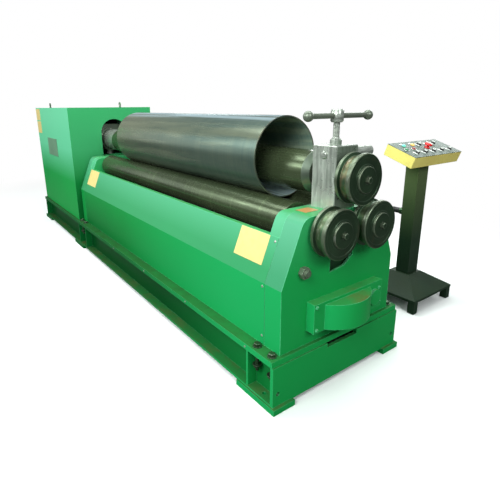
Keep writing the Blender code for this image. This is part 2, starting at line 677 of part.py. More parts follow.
def vent_plate(parent):
    left = CABINET_LEFT + VENT_LEFT
    plate = box((left, left + VENT_WIDTH), (CABINET_FRONT - GAP - VENT_THICK, CABINET_FRONT - GAP),
                (VENT_LOW, VENT_LOW + VENT_HEIGHT))
    return finish(plate, "vent_plate", "motor_grey", parent)


def eye_bolt_places():
    return ((CABINET_LEFT + EYE_INSET, CABINET_FRONT + EYE_INSET / 2),
            (CABINET_RIGHT - EYE_INSET, CABINET_REAR - EYE_INSET))


def eye_bolt(name, place, parent):
    x, y = place
    ring_z = CABINET_TOP + EYE_RADIUS + 2 * EYE_WIRE
    section = [(EYE_WIRE * math.sin(2 * math.pi * k / 6), EYE_RADIUS + EYE_WIRE * math.cos(2 * math.pi * k / 6))
               for k in range(6)]
    eye = turned(section, "Y", (x, ring_z), SMALL_ROUND, ring=True)
    eye.data.transform(Matrix.Translation((0, y, 0)))
    shank = turned([(CABINET_TOP - 3 * EYE_WIRE, 0), (CABINET_TOP - 3 * EYE_WIRE, EYE_WIRE),
                    (CABINET_TOP + GAP, EYE_WIRE), (CABINET_TOP + GAP, 2 * EYE_WIRE),
                    (CABINET_TOP + EYE_WIRE, 2 * EYE_WIRE), (CABINET_TOP + 2 * EYE_WIRE, EYE_WIRE),
                    (CABINET_TOP + 2 * EYE_WIRE, 0)], "Z", (x, y), SMALL_ROUND)
    fuse(eye, shank)
    return finish(eye, name, "bright_steel", parent, smooth=True)


def electric_door(parent):
    middle = (CABINET_FRONT + CABINET_REAR) / 2
    outer = CABINET_LEFT - GAP - DOOR_THICK
    door = box((outer, CABINET_LEFT - GAP), (middle - DOOR_WIDTH / 2, middle + DOOR_WIDTH / 2),
               (DOOR_LOW, DOOR_HIGH), bevel=CABINET_WALL / 2)
    hinge = (outer, middle + DOOR_WIDTH / 2, (DOOR_LOW + DOOR_HIGH) / 2)
    return finish(door, "electric_door", "green_paint", parent, pivot=hinge)


def door_latch(parent):
    middle = (CABINET_FRONT + CABINET_REAR) / 2
    outer = CABINET_LEFT - 2 * GAP - DOOR_THICK
    place = (middle - DOOR_WIDTH / 2 + 2 * DOOR_FRAME, (DOOR_LOW + DOOR_HIGH) / 2)
    knob = rod("X", place, KNOB_RADIUS, outer - KNOB_HEIGHT, outer, SMALL_ROUND)
    grip = KNOB_RADIUS * 0.75
    fuse(knob, box((outer - 2 * KNOB_HEIGHT, outer - KNOB_HEIGHT / 2), (place[0] - grip / 3, place[0] + grip / 3),
                   (place[1] - 2 * grip, place[1] + grip)))
    return finish(knob, "door_latch", "knob_black", parent, pivot=(outer, *place))


def lower_roll(name, y, parent):
    body_left = LEFT_IN + ROLL_END_GAP
    body_right = FRAME_IN - ROLL_END_GAP
    profile = [(GEAR_LEFT - ROLL_END_GAP, 0), (GEAR_LEFT - ROLL_END_GAP, GEAR_SEAT), (GEAR_RIGHT, GEAR_SEAT),
               (GEAR_RIGHT, LOWER_JOURNAL), (body_left, LOWER_JOURNAL), (body_left, LOWER_ROLL_RADIUS),
               (body_right, LOWER_ROLL_RADIUS), (body_right, LOWER_JOURNAL),
               (WHEEL_BACK_X - GAP, LOWER_JOURNAL), (WHEEL_BACK_X - GAP, WHEEL_SEAT),
               (WHEEL_FACE_X - GAP, WHEEL_SEAT), (WHEEL_FACE_X - GAP, 0)]
    roll = turned(profile, "X", (y, LOWER_ROLL_Z))
    return finish(roll, name, "roll_steel", parent, pivot=(0, y, LOWER_ROLL_Z), smooth=True)


def section_wheel(name, y, z, parent):
    """A wheel with a groove for bars and sections, bolted to the end of its roll."""
    radius = WHEEL_RADIUS
    groove = radius - GROOVE_DEPTH
    slant = GROOVE_DEPTH / 3
    back = WHEEL_BACK_X
    groove_left = back + WHEEL_FLANGE
    groove_right = groove_left + WHEEL_GROOVE
    bore = WHEEL_SEAT + GAP
    face = WHEEL_FACE_X
    boss = face + BOSS_HEIGHT
    profile = [(face, 0), (face, bore), (back, bore), (back, radius), (groove_left - slant, radius),
               (groove_left, groove), (groove_right, groove), (groove_right + slant, radius),
               (face, radius), (face, BOSS_RADIUS), (boss, BOSS_RADIUS), (boss, WHEEL_BOLT_RADIUS),
               (WHEEL_TIP_X, WHEEL_BOLT_RADIUS), (WHEEL_TIP_X, 0)]
    wheel = turned(profile, "X", (y, z))
    return finish(wheel, name, "dark_steel", parent, pivot=(0, y, z), smooth=True)


def gear_outline(teeth, centre, phase):
    """An involute gear's outline; phase is the angle of one tooth's middle."""
    pitch = GEAR_MODULE * teeth / 2
    base = pitch * math.cos(PRESSURE_ANGLE)
    root = pitch - 1.25 * GEAR_MODULE
    tip = pitch + 0.95 * GEAR_MODULE
    half = (math.pi * GEAR_MODULE / 2 - GEAR_BACKLASH) / (2 * pitch)

    def half_angle(radius):
        if radius <= base:
            return half + involute(PRESSURE_ANGLE)
        return half + involute(PRESSURE_ANGLE) - involute(math.acos(base / radius))

    def involute(angle):
        return math.tan(angle) - angle

    points = []
    for tooth in range(teeth):
        middle = phase + 2 * math.pi * tooth / teeth
        flank = [(root, half_angle(max(root, base))), (tip, half_angle(tip))]
        corners = [(radius, middle - spread) for radius, spread in flank]
        corners += [(radius, middle + spread) for radius, spread in reversed(flank)]
        points += [(centre[0] + radius * math.cos(angle), centre[1] + radius * math.sin(angle))
                   for radius, angle in corners]
    return points


def gear_phases():
    """Tooth angles of the pinion and of the front and rear roll gears, in mesh at rest."""
    rise = LOWER_ROLL_Z - PINION_Z
    to_front = math.atan2(rise, -ROLL_HALF_SPACING)
    to_rear = math.atan2(rise, ROLL_HALF_SPACING)
    half_tooth = math.pi / ROLL_GEAR_TEETH
    pitch_angle = 2 * math.pi / PINION_TEETH
    ahead = (to_rear - to_front) % pitch_angle
    front = to_front + math.pi + half_tooth
    rear = to_rear + math.pi + ahead * PINION_TEETH / ROLL_GEAR_TEETH + half_tooth
    return to_front, front, rear


def roll_gear(name, y, phase, parent):
    centre = (y, LOWER_ROLL_Z)
    gear = prism(gear_outline(ROLL_GEAR_TEETH, centre, phase), "X", GEAR_LEFT, GEAR_RIGHT - GAP)
    cut(gear, rod("X", centre, GEAR_SEAT + GAP, GEAR_LEFT - GAP, GEAR_RIGHT + GAP))
    return finish(gear, name, "dark_steel", parent, pivot=(0, *centre))


def drive_pinion(phase, parent):
    centre = (MID_Y, PINION_Z)
    gear = prism(gear_outline(PINION_TEETH, centre, phase), "X", GEAR_LEFT, GEAR_RIGHT)
    fuse(gear, rod("X", centre, PINION_SHAFT, REDUCER_RIGHT - PINION_SHAFT_DEPTH + GAP,
                   (GEAR_LEFT + GEAR_RIGHT) / 2, SMALL_ROUND))
    return finish(gear, "drive_pinion", "bright_steel", parent, pivot=(0, *centre))


def top_roll(parent):
    body_left = LEFT_IN - TOP_BODY_LEFT
    neck_left = DRIVE_FRAME_X + DRIVE_FRAME_THICK / 2 + DRIVE_BLOCK_PROUD + DRIVE_FLANGE + TOP_CHAMFER
    tail = DRIVE_FRAME_X - DRIVE_FRAME_THICK
    neck_right = BLOCK_LEFT_X - TOP_CHAMFER / 2
    body_right = neck_right - TOP_CHAMFER
    profile = [(tail, 0), (tail, DRIVE_JOURNAL), (neck_left, DRIVE_JOURNAL), (neck_left, TOP_NECK_RADIUS),
               (body_left, TOP_NECK_RADIUS), (body_left, TOP_ROLL_RADIUS), (body_right, TOP_ROLL_RADIUS),
               (neck_right - GAP, TOP_ROLL_RADIUS - TOP_CHAMFER), (neck_right, TOP_JOURNAL),
               (WHEEL_BACK_X - GAP, TOP_JOURNAL), (WHEEL_BACK_X - GAP, WHEEL_SEAT),
               (WHEEL_FACE_X - GAP, WHEEL_SEAT), (WHEEL_FACE_X - GAP, 0)]
    roll = turned(profile, "X", (MID_Y, TOP_ROLL_Z))
    return finish(roll, "top_roll", "roll_steel", parent, pivot=(0, MID_Y, TOP_ROLL_Z), smooth=True)


def rolled_shell(parent):
    inner = SHELL_RADIUS - SHELL_WALL
    right = SHELL_LEFT + SHELL_LENGTH
    profile = [(SHELL_LEFT, inner), (SHELL_LEFT, SHELL_RADIUS), (right, SHELL_RADIUS), (right, inner)]
    shell = turned(profile, "X", (MID_Y, SHELL_Z), 2 * ROUND, ring=True)
    return finish(shell, "rolled_shell", "shell_steel", parent, pivot=(0, MID_Y, SHELL_Z), smooth=True)


def drop_end_block(parent):
    half = BLOCK_WIDTH / 2
    front = MID_Y - half
    rear = MID_Y + half
    block = box((BLOCK_LEFT_X, BLOCK_RIGHT_X), (front, rear), (BLOCK_LOW, BLOCK_TOP), bevel=BLOCK_BEVEL)
    collar = turned([(BLOCK_TOP - BLOCK_BEVEL * 2, 0), (BLOCK_TOP - BLOCK_BEVEL * 2, SCREW_COLLAR_RADIUS),
                     (BLOCK_TOP + SCREW_COLLAR_HEIGHT * 0.7, SCREW_COLLAR_RADIUS),
                     (BLOCK_TOP + SCREW_COLLAR_HEIGHT, SCREW_RADIUS * 1.2),
                     (BLOCK_TOP + SCREW_COLLAR_HEIGHT, 0)], "Z", (BLOCK_X, MID_Y), 12)
    fuse(block, collar)
    nose = bore(PIN_NOSE_RADIUS, MEDIUM_ROUND)
    body = bore(PIN_RADIUS, MEDIUM_ROUND)
    step = front + PIN_STEP - GAP
    cut(block, turned([(front - GAP * 10, 0), (front - GAP * 10, nose), (step, nose), (step, body),
                       (rear + GAP * 10, body), (rear + GAP * 10, 0)], "Y", (BLOCK_X, PIN_Z), MEDIUM_ROUND))
    pin_top = PIN_Z + PIN_RADIUS + GAP
    cut(block, rod("Z", (BLOCK_X, MID_Y), bore(SHOE_RADIUS, MEDIUM_ROUND), PIN_Z + PIN_RADIUS / 2,
                   pin_top + SHOE_HEIGHT + CLAMP_TRAVEL + GAP, MEDIUM_ROUND))
    cut(block, rod("Z", (BLOCK_X, MID_Y), bore(SCREW_RADIUS, MEDIUM_ROUND), pin_top,
                   BLOCK_TOP + SCREW_COLLAR_HEIGHT * 2, MEDIUM_ROUND))
    cut(block, rod("X", (MID_Y, TOP_ROLL_Z), bore(TOP_JOURNAL + BUSH_WALL), BLOCK_LEFT_X - GAP * 10,
                   BLOCK_RIGHT_X + GAP * 10))
    return finish(block, "drop_end_block", "bright_steel", parent)


def drop_end_bush(parent):
    inner = bore(TOP_JOURNAL)
    outer = TOP_JOURNAL + BUSH_WALL
    profile = [(BLOCK_LEFT_X, inner), (BLOCK_LEFT_X, outer), (BLOCK_RIGHT_X, outer), (BLOCK_RIGHT_X, inner)]
    bush = turned(profile, "X", (MID_Y, TOP_ROLL_Z), ring=True)
    return finish(bush, "drop_end_bush", "bronze", parent, smooth=True)


def drive_end_block(parent):
    right = DRIVE_FRAME_X + DRIVE_FRAME_THICK / 2 + DRIVE_BLOCK_PROUD
    left = DRIVE_FRAME_X - DRIVE_FRAME_THICK / 2 - DRIVE_BLOCK_PROUD
    block = box((left, right), (MID_Y - DRIVE_BLOCK_HALF, MID_Y + DRIVE_BLOCK_HALF),
                (DRIVE_BLOCK_LOW, DRIVE_BLOCK_HIGH))
    fuse(block, rod("X", (MID_Y, TOP_ROLL_Z), DRIVE_FLANGE_RADIUS, right - DRIVE_BLOCK_PROUD,
                    right + DRIVE_FLANGE))
    cut(block, rod("X", (MID_Y, TOP_ROLL_Z), bore(DRIVE_JOURNAL), left - GAP * 10,
                   right + DRIVE_FLANGE + GAP * 10))
    return finish(block, "drive_end_block", "dark_steel", parent)


def lock_pin(parent):
    front = MID_Y - BLOCK_WIDTH / 2
    rear = MID_Y + BLOCK_WIDTH / 2
    tip = rear + PIN_TIP
    ease = PIN_RADIUS / 3
    profile = [(front - PIN_HEAD, 0), (front - PIN_HEAD, PIN_NOSE_RADIUS - ease / 3),
               (front - PIN_HEAD + ease / 3, PIN_NOSE_RADIUS), (front + PIN_STEP, PIN_NOSE_RADIUS),
               (front + PIN_STEP, PIN_RADIUS), (tip - ease, PIN_RADIUS), (tip, PIN_RADIUS - ease), (tip, 0)]
    pin = turned(profile, "Y", (BLOCK_X, PIN_Z), MEDIUM_ROUND)
    return finish(pin, "lock_pin", "bright_steel", parent, pivot=(BLOCK_X, MID_Y, PIN_Z), smooth=True)


def clamp_shoe(parent):
    low = PIN_Z + PIN_RADIUS + GAP
    shoe = rod("Z", (BLOCK_X, MID_Y), SHOE_RADIUS, low, low + SHOE_HEIGHT, MEDIUM_ROUND)
    return finish(shoe, "clamp_shoe", "bright_steel", parent, pivot=(BLOCK_X, MID_Y, low))


def clamp_screw(parent):
    low = PIN_Z + PIN_RADIUS + SHOE_HEIGHT + 2 * GAP
    boss_top = SCREW_BOSS_LOW + SCREW_BOSS_HEIGHT
    ease = SCREW_BOSS_RADIUS / 5
    profile = [(low, 0), (low, SCREW_RADIUS), (SCREW_BOSS_LOW, SCREW_RADIUS),
               (SCREW_BOSS_LOW, SCREW_BOSS_RADIUS - ease), (SCREW_BOSS_LOW + ease, SCREW_BOSS_RADIUS),
               (boss_top - ease, SCREW_BOSS_RADIUS), (boss_top, SCREW_BOSS_RADIUS - ease), (boss_top, 0)]
    screw = turned(profile, "Z", (BLOCK_X, MID_Y), MEDIUM_ROUND)
    bar_z = SCREW_BOSS_LOW + SCREW_BOSS_HEIGHT / 2
    cut(screw, rod("Y", (BLOCK_X, bar_z), bore(BAR_RADIUS, SMALL_ROUND), 0, 1, SMALL_ROUND))
    return finish(screw, "clamp_screw", "bright_steel", parent, pivot=(BLOCK_X, MID_Y, bar_z), smooth=True)


def tee_bar(parent):
    bar_z = SCREW_BOSS_LOW + SCREW_BOSS_HEIGHT / 2
    middle = MID_Y + BAR_OFFSET
    steps = 5
    neck = math.asin(BAR_RADIUS / BALL_RADIUS)
    ball = [(BALL_RADIUS * math.cos(math.pi - (math.pi - neck) * k / steps),
             BALL_RADIUS * math.sin(math.pi - (math.pi - neck) * k / steps)) for k in range(steps + 1)]
    left = [(middle - BAR_HALF_LENGTH + along, max(radius, 0)) for along, radius in ball]
    left[0] = (left[0][0], 0)
    profile = left + [(2 * middle - along, radius) for along, radius in reversed(left)]
    bar = turned(profile, "Y", (BLOCK_X, bar_z), SMALL_ROUND)
    return finish(bar, "tee_bar", "bright_steel", parent, pivot=(BLOCK_X, MID_Y, bar_z), smooth=True)


def lift_screw(name, x, top, parent):
    screw = rod("Z", (x, MID_Y), LIFT_SCREW_RADIUS, LIFT_SCREW_LOW, top - GAP, MEDIUM_ROUND)
    return finish(screw, name, "bright_steel", parent, smooth=True)


def worm_wheel(name, x, parent):
    teeth = WORM_WHEEL_TEETH
    root = WORM_WHEEL_RADIUS - WORM_TOOTH
    outline = []
    for tooth in range(teeth):
        for share, radius in ((-0.32, root), (-0.14, WORM_WHEEL_RADIUS), (0.14, WORM_WHEEL_RADIUS), (0.32, root)):
            angle = 2 * math.pi * (tooth + share) / teeth
            outline.append((x + radius * math.cos(angle), MID_Y + radius * math.sin(angle)))
    low = WORM_WHEEL_Z - WORM_WHEEL_FACE / 2
    high = WORM_WHEEL_Z + WORM_WHEEL_FACE / 2
    wheel = prism(outline, "Z", low, high)
    fuse(wheel, rod("Z", (x, MID_Y), HUB_RADIUS, HUB_LOW, high + WORM_TOOTH / 2, MEDIUM_ROUND))
    cut(wheel, rod("Z", (x, MID_Y), bore(LIFT_SCREW_RADIUS, MEDIUM_ROUND), HUB_LOW - GAP, high + WORM_TOOTH,
                   MEDIUM_ROUND))
    return finish(wheel, name, "bronze", parent, pivot=(x, MID_Y, WORM_WHEEL_Z))


def lift_shaft(parent):
    """One shaft with a worm at each end, each worm cut as a row of rings."""
    profile = [(LIFT_MOTOR_RIGHT + GAP, 0), (LIFT_MOTOR_RIGHT + GAP, LIFT_SHAFT_RADIUS)]
    rings = 3
    rise, crest, fall = (share * 2 * WORM_HALF_LENGTH / rings for share in WORM_RING_SHARES)
    for x in (DRIVE_FRAME_X, BLOCK_X):
        step = 2 * WORM_HALF_LENGTH / rings
        for k in range(rings):
            left = x - WORM_HALF_LENGTH + k * step
            profile += [(left, LIFT_SHAFT_RADIUS), (left + rise, WORM_RADIUS),
                        (left + crest, WORM_RADIUS), (left + fall, LIFT_SHAFT_RADIUS)]
    end = GUARD_BOX_FRONT + GUARD_BOSS_LENGTH / 2 - GAP
    profile += [(end, LIFT_SHAFT_RADIUS), (end, 0)]
    shaft = turned(profile, "X", (WORM_Y, WORM_WHEEL_Z), SMALL_ROUND)
    return finish(shaft, "lift_shaft", "dark_steel", parent, smooth=True)


def drive_frame(parent):
    x = (DRIVE_FRAME_X - DRIVE_FRAME_THICK / 2, DRIVE_FRAME_X + DRIVE_FRAME_THICK / 2)
    wide = (x[0] - GAP * 10, x[1] + GAP * 10)
    frame = box(x, (MID_Y - DRIVE_FRAME_HALF, MID_Y + DRIVE_FRAME_HALF), (SEAT, DRIVE_FRAME_TOP))
    half = DRIVE_BLOCK_HALF + RUNNING
    cut(frame, box(wide, (MID_Y - half, MID_Y + half), (DRIVE_SLOT_LOW, DRIVE_FRAME_TOP + FRAME_RIM)))
    cut(frame, box(wide, (MID_Y - WORM_WHEEL_RADIUS - GAP * 10, WORM_Y + WORM_RADIUS + GAP * 10),
                   (HUB_LOW - GAP, WHEEL_WINDOW_TOP)))
    for y in (FRONT_ROLL_Y, REAR_ROLL_Y):
        cut(frame, rod("X", (y, LOWER_ROLL_Z), bore(LOWER_JOURNAL), *wide))
    cut(frame, rod("Z", (DRIVE_FRAME_X, MID_Y), bore(LIFT_SCREW_RADIUS, MEDIUM_ROUND), HUB_LOW,
                   DRIVE_SLOT_LOW + GAP * 10, MEDIUM_ROUND))
    return finish(frame, "drive_frame", "green_paint", parent)


def reducer(parent):
    case = box((REDUCER_LEFT, REDUCER_RIGHT), (MID_Y - REDUCER_HALF, MID_Y + REDUCER_HALF),
               (SEAT, REDUCER_TOP), bevel=FRAME_RIM)
    fuse(case, box((REDUCER_LEFT + FRAME_RIM, REDUCER_RIGHT - FRAME_RIM),
                   (MID_Y - REDUCER_HALF - REDUCER_FOOT, MID_Y + REDUCER_HALF + REDUCER_FOOT / 2),
                   (SEAT, SEAT + REDUCER_FOOT)))
    cut(case, rod("X", (MID_Y, PINION_Z), bore(PINION_SHAFT, SMALL_ROUND), REDUCER_RIGHT - PINION_SHAFT_DEPTH,
                  REDUCER_RIGHT + GAP * 10, SMALL_ROUND))
    return finish(case, "reducer", "cast_grey", parent)


def motor(name, right, length, radius, centre_y, centre_z, shaft, parent):
    """An electric motor on a foot, with a fan cowl, a flange and a terminal box."""
    left = right - length
    cowl = radius * 0.92
    profile = [(left, 0), (left, cowl * 0.9), (left + radius / 8, cowl), (left + radius, cowl),
               (left + radius, radius), (right - radius / 3, radius), (right - radius / 3, radius * 0.8),
               (right, radius * 0.8), (right, 0)]
    if shaft:
        profile = profile[:-1] + [(right, MOTOR_SHAFT), (right + shaft, MOTOR_SHAFT), (right + shaft, 0)]
    body = turned(profile, "X", (centre_y, centre_z), MEDIUM_ROUND)
    fuse(body, box((left + length * 0.35, right - length * 0.2), (centre_y - radius * 0.8, centre_y + radius * 0.8),
                   (SEAT, centre_z - radius * 0.5)))
    fuse(body, box((left + length * 0.45, right - length * 0.25), (centre_y - radius * 0.4, centre_y + radius * 0.4),
                   (centre_z + radius * 0.5, centre_z + radius * 1.25)))
    return finish(body, name, "motor_grey", parent, smooth=True)


def stand_outline(half_x, half_y):
    return [(STAND_X - half_x, STAND_Y - half_y), (STAND_X + half_x, STAND_Y - half_y),
            (STAND_X + half_x, STAND_Y + half_y), (STAND_X - half_x, STAND_Y + half_y)]


def frustum(low, low_half, high, high_half, rim):
    """A four-sided cap: an upright rim, then four faces leaning in to a flat top."""
    work = bmesh.new()
    layers = []
    for height, half in ((low, low_half), (low + rim, low_half), (high, high_half)):
        layers.append([work.verts.new((x, y, height)) for x, y in stand_outline(*half)])
    for under, over in zip(layers, layers[1:]):
        for i in range(4):
            j = (i + 1) % 4
            work.faces.new((under[i], under[j], over[j], over[i]))
    work.faces.new(layers[0])
    work.faces.new(layers[-1])
    return solid(work)


def console_base(parent):
    top_half = (COLUMN_X / 2 + STAND_RIM, COLUMN_Y / 2 + STAND_RIM)
    rim_half = (STAND_HALF_X, STAND_HALF_Y)
    base = frustum(STAND_RIM_LOW, rim_half, STAND_PYRAMID_TOP, top_half, STAND_RIM)
    sheet = STAND_SHEET
    inside = frustum(STAND_RIM_LOW - sheet, (rim_half[0] - sheet, rim_half[1] - sheet),
                     STAND_PYRAMID_TOP - sheet, (top_half[0] - sheet, top_half[1] - sheet), STAND_RIM)
    cut(base, inside)
    leg = STAND_LEG
    for side_x in (-1, 1):
        for side_y in (-1, 1):
            xs = sorted((STAND_X + side_x * (rim_half[0] - sheet / 2), STAND_X + side_x * (rim_half[0] - leg)))
            ys = sorted((STAND_Y + side_y * (rim_half[1] - sheet / 2), STAND_Y + side_y * (rim_half[1] - leg)))
            fuse(base, box(xs, ys, (0, STAND_RIM_LOW + STAND_RIM / 2)))
    return finish(base, "console_base", "stand_black", parent)


def console_matrix():
    """From console coordinates (towards the operator, along the box, out of the panel)."""
    place = Matrix.Translation((STAND_X + CONSOLE_SHIFT, STAND_Y, CONSOLE_Z))
    return place @ Matrix.Rotation(CONSOLE_TILT, 4, "Y")


def console_column(parent):
    def underside(x):
        return CONSOLE_Z - (x - STAND_X - CONSOLE_SHIFT) * math.tan(CONSOLE_TILT) - GAP / math.cos(CONSOLE_TILT)

    left = STAND_X - COLUMN_X / 2
    right = STAND_X + COLUMN_X / 2
    low = STAND_PYRAMID_TOP + GAP
    outline = [(left, low), (right, low), (right, underside(right)), (left, underside(left))]
    column = prism(outline, "Y", STAND_Y - COLUMN_Y / 2, STAND_Y + COLUMN_Y / 2)
    wall = COLUMN_WALL
    cut(column, box((left + wall, right - wall),
                    (STAND_Y - COLUMN_Y / 2 + wall, STAND_Y + COLUMN_Y / 2 - wall), (0, CONSOLE_Z + COLUMN_X)))
    return finish(column, "console_column", "stand_black", parent)


def in_console(piece):
    piece.data.transform(console_matrix())
    return piece


def console_box(parent):
    half_x = CONSOLE_DEPTH / 2
    half_y = CONSOLE_WIDTH / 2
    wall = CONSOLE_WALL
    case = box((-half_x, half_x), (-half_y, half_y), (0, CONSOLE_HEIGHT), bevel=wall / 2)
    cut(case, box((-half_x + wall, half_x - wall), (-half_y + wall, half_y - wall),
                  (wall, CONSOLE_HEIGHT + wall)))
    cut(case, rod("Z", (-CONSOLE_SHIFT, 0), COLUMN_X / 4, -wall, 2 * wall, SMALL_ROUND))
    return finish(in_console(case), "console_box", "console_yellow", parent)


def console_panel(parent):
    half_x = CONSOLE_DEPTH / 2
    half_y = CONSOLE_WIDTH / 2
    low = CONSOLE_HEIGHT + GAP
    high = low + PANEL_THICK
    plate = box((-half_x, half_x), (-half_y, half_y), (low, high))
    for y in BUTTON_PLACES.values():
        cut(plate, rod("Z", (MIDDLE_ROW, y), BUTTON_RADIUS + RUNNING, low - GAP, high + GAP, SMALL_ROUND))
    cut(plate, rod("Z", (MIDDLE_ROW, STOP_PLACE), STOP_STEM + RUNNING, low - GAP, high + GAP, SMALL_ROUND))
    return finish(in_console(plate), "console_panel", "panel_grey", parent)


def on_panel(profile, x, y, sides=SMALL_ROUND):
    top = CONSOLE_HEIGHT + GAP + PANEL_THICK
    return turned([(top + along, radius) for along, radius in profile], "Z", (x, y), sides)


def panel_point(x, y):
    return console_matrix() @ Vector((x, y, CONSOLE_HEIGHT + GAP + PANEL_THICK))


def lamp(name, y, colour, parent):
    dome = [(GAP, 0), (GAP, LAMP_RADIUS), (LAMP_HEIGHT / 3, LAMP_RADIUS),
            (LAMP_HEIGHT * 0.8, LAMP_RADIUS * 0.75), (LAMP_HEIGHT, LAMP_RADIUS * 0.3), (LAMP_HEIGHT, 0)]
    return finish(in_console(on_panel(dome, BACK_ROW, y)), name, colour, parent, smooth=True)


def push_button(name, y, colour, parent):
    profile = [(-BUTTON_DEPTH, 0), (-BUTTON_DEPTH, BUTTON_RADIUS), (BUTTON_HEIGHT * 0.8, BUTTON_RADIUS),
               (BUTTON_HEIGHT, BUTTON_RADIUS * 0.85), (BUTTON_HEIGHT, 0)]
    return finish(in_console(on_panel(profile, MIDDLE_ROW, y)), name, colour, parent,
                  pivot=panel_point(MIDDLE_ROW, y), smooth=True)


def emergency_stop(parent):
    cap = STOP_HEIGHT * 0.55
    profile = [(-BUTTON_DEPTH, 0), (-BUTTON_DEPTH, STOP_STEM), (cap, STOP_STEM), (cap, STOP_RADIUS * 0.9),
               (cap + STOP_HEIGHT * 0.1, STOP_RADIUS), (cap + STOP_HEIGHT * 0.25, STOP_RADIUS),
               (STOP_HEIGHT, STOP_RADIUS * 0.55), (STOP_HEIGHT, 0)]
    return finish(in_console(on_panel(profile, MIDDLE_ROW, STOP_PLACE)), "emergency_stop", "stop_red",
                  parent, pivot=panel_point(MIDDLE_ROW, STOP_PLACE), smooth=True)


def selector(name, x, y, parent):
    profile = [(GAP, 0), (GAP, KNOB_RADIUS), (KNOB_HEIGHT, KNOB_RADIUS * 0.9), (KNOB_HEIGHT, 0)]
    knob = on_panel(profile, x, y)
    top = CONSOLE_HEIGHT + GAP + PANEL_THICK
    half = KNOB_RADIUS * 0.85
    fuse(knob, box((x - half, x + half), (y - half / 3.5, y + half / 3.5),
                   (top + KNOB_HEIGHT / 2, top + KNOB_HEIGHT + KNOB_GRIP)))
    return finish(in_console(knob), name, "knob_black", parent, pivot=panel_point(x, y))


def gland(name, axis, centre, face, outward, parent):
    """A hexagon nut against the wall, then a round neck that holds the conduit."""
    places = [face + outward * GAP, face + outward * GLAND_NUT, face + outward * GLAND_LENGTH]
    if outward < 0:
        places.reverse()
    nut_ends = sorted((face + outward * GAP, face + outward * GLAND_NUT))
    neck_ends = sorted((face + outward * GLAND_NUT * 0.9, face + outward * GLAND_LENGTH))
    piece = rod(axis, centre, GLAND_RADIUS, *nut_ends, 6)
    fuse(piece, rod(axis, centre, GLAND_NECK, *neck_ends, SMALL_ROUND))
    return finish(piece, name, "dark_steel", parent)


def conduit_route():
    """The conduit's own points, from the rear cover's gland to the column's gland."""
    start_y = across(FRAME_FRONT) + GLAND_LENGTH + 3 * GAP
    end_x = STAND_X - COLUMN_X / 2 - GLAND_LENGTH - 3 * GAP
    return [
        (MACHINE_GLAND_X, start_y, MACHINE_GLAND_Z),
        (MACHINE_GLAND_X, start_y + 0.080, MACHINE_GLAND_Z - 0.001),
        (MACHINE_GLAND_X + 0.010, 1.170, 0.430),
        (MACHINE_GLAND_X + 0.045, 1.310, 0.400),
        (MACHINE_GLAND_X + 0.110, 1.440, 0.405),
        (MACHINE_GLAND_X + 0.205, 1.550, 0.450),
        (MACHINE_GLAND_X + 0.310, 1.630, 0.525),
        (MACHINE_GLAND_X + 0.400, 1.662, 0.600),
        (end_x - 0.100, STAND_Y, COLUMN_GLAND_Z - 0.004),
        (end_x, STAND_Y, COLUMN_GLAND_Z),
    ]


def smooth_route(points, step):
    """Points a step apart along a smooth curve through the given ones."""
    knots = [Vector(point) for point in points]
    knots = [2 * knots[0] - knots[1]] + knots + [2 * knots[-1] - knots[-2]]
    dense = []
    for before, here, there, after in zip(knots, knots[1:], knots[2:], knots[3:]):
        for k in range(24):
            t = k / 24
            dense.append(0.5 * (2 * here + (there - before) * t
                                + (2 * before - 5 * here + 4 * there - after) * t ** 2
                                + (3 * here - before - 3 * there + after) * t ** 3))
    dense.append(knots[-2])
    lengths = [0.0]
    for first, second in zip(dense, dense[1:]):
        lengths.append(lengths[-1] + (second - first).length)
    count = max(round(lengths[-1] / step), 2)
    spaced = []
    for k in range(count + 1):
        wanted = lengths[-1] * k / count
        i = max(index for index, length in enumerate(lengths) if length <= wanted + 1e-9)
        i = min(i, len(dense) - 2)
        share = (wanted - lengths[i]) / (lengths[i + 1] - lengths[i])
        spaced.append(dense[i].lerp(dense[i + 1], share))
    return spaced, lengths[-1]


def control_conduit(parent):
    points, length = smooth_route(conduit_route(), CONDUIT_STEP)
    curve = bpy.data.curves.new("control_conduit", "CURVE")
    curve.dimensions = "3D"
    curve.bevel_depth = CONDUIT_RADIUS
    curve.bevel_resolution = 2
    curve.use_fill_caps = True
    line = curve.splines.new("POLY")
    line.points.add(len(points) - 1)
    for item, point in zip(line.points, points):
        item.co = (*point, 1.0)
    curve.materials.append(material("conduit_black"))
    conduit = bpy.data.objects.new("control_conduit", curve)
    bpy.context.scene.collection.objects.link(conduit)
    conduit.parent = parent
    print(f"control_conduit: {length:.3f} m along its middle")
    return conduit


def joint_empty(name, place, parent):
    """An empty on a joint's axis; the pieces that move together hang on it."""
    axle = bpy.data.objects.new(name, None)
    axle.empty_display_size = 0.1
    bpy.context.scene.collection.objects.link(axle)
    axle.location = place
    axle.parent = parent
    return axle


def hang(pieces, axle):
    """Hang finished pieces on a joint's empty without moving them."""
    for piece in pieces:
        piece.parent = axle
        piece.location = piece.location - axle.location


def build_rolls(machine):
    pinion_phase, front_phase, rear_phase = gear_phases()
    for side, y, phase in (("front", FRONT_ROLL_Y, front_phase), ("rear", REAR_ROLL_Y, rear_phase)):
        axle = joint_empty(f"{side}_roll_axis", (0, y, LOWER_ROLL_Z), machine)
        hang([lower_roll(f"{side}_roll", y, machine), section_wheel(f"{side}_wheel", y, LOWER_ROLL_Z, machine),
              roll_gear(f"{side}_roll_gear", y, phase, machine)], axle)
    axle = joint_empty("top_roll_axis", (0, MID_Y, TOP_ROLL_Z), machine)
    hang([top_roll(machine), section_wheel("top_wheel", MID_Y, TOP_ROLL_Z, machine)], axle)
    drive_pinion(pinion_phase, machine)
    rolled_shell(machine)


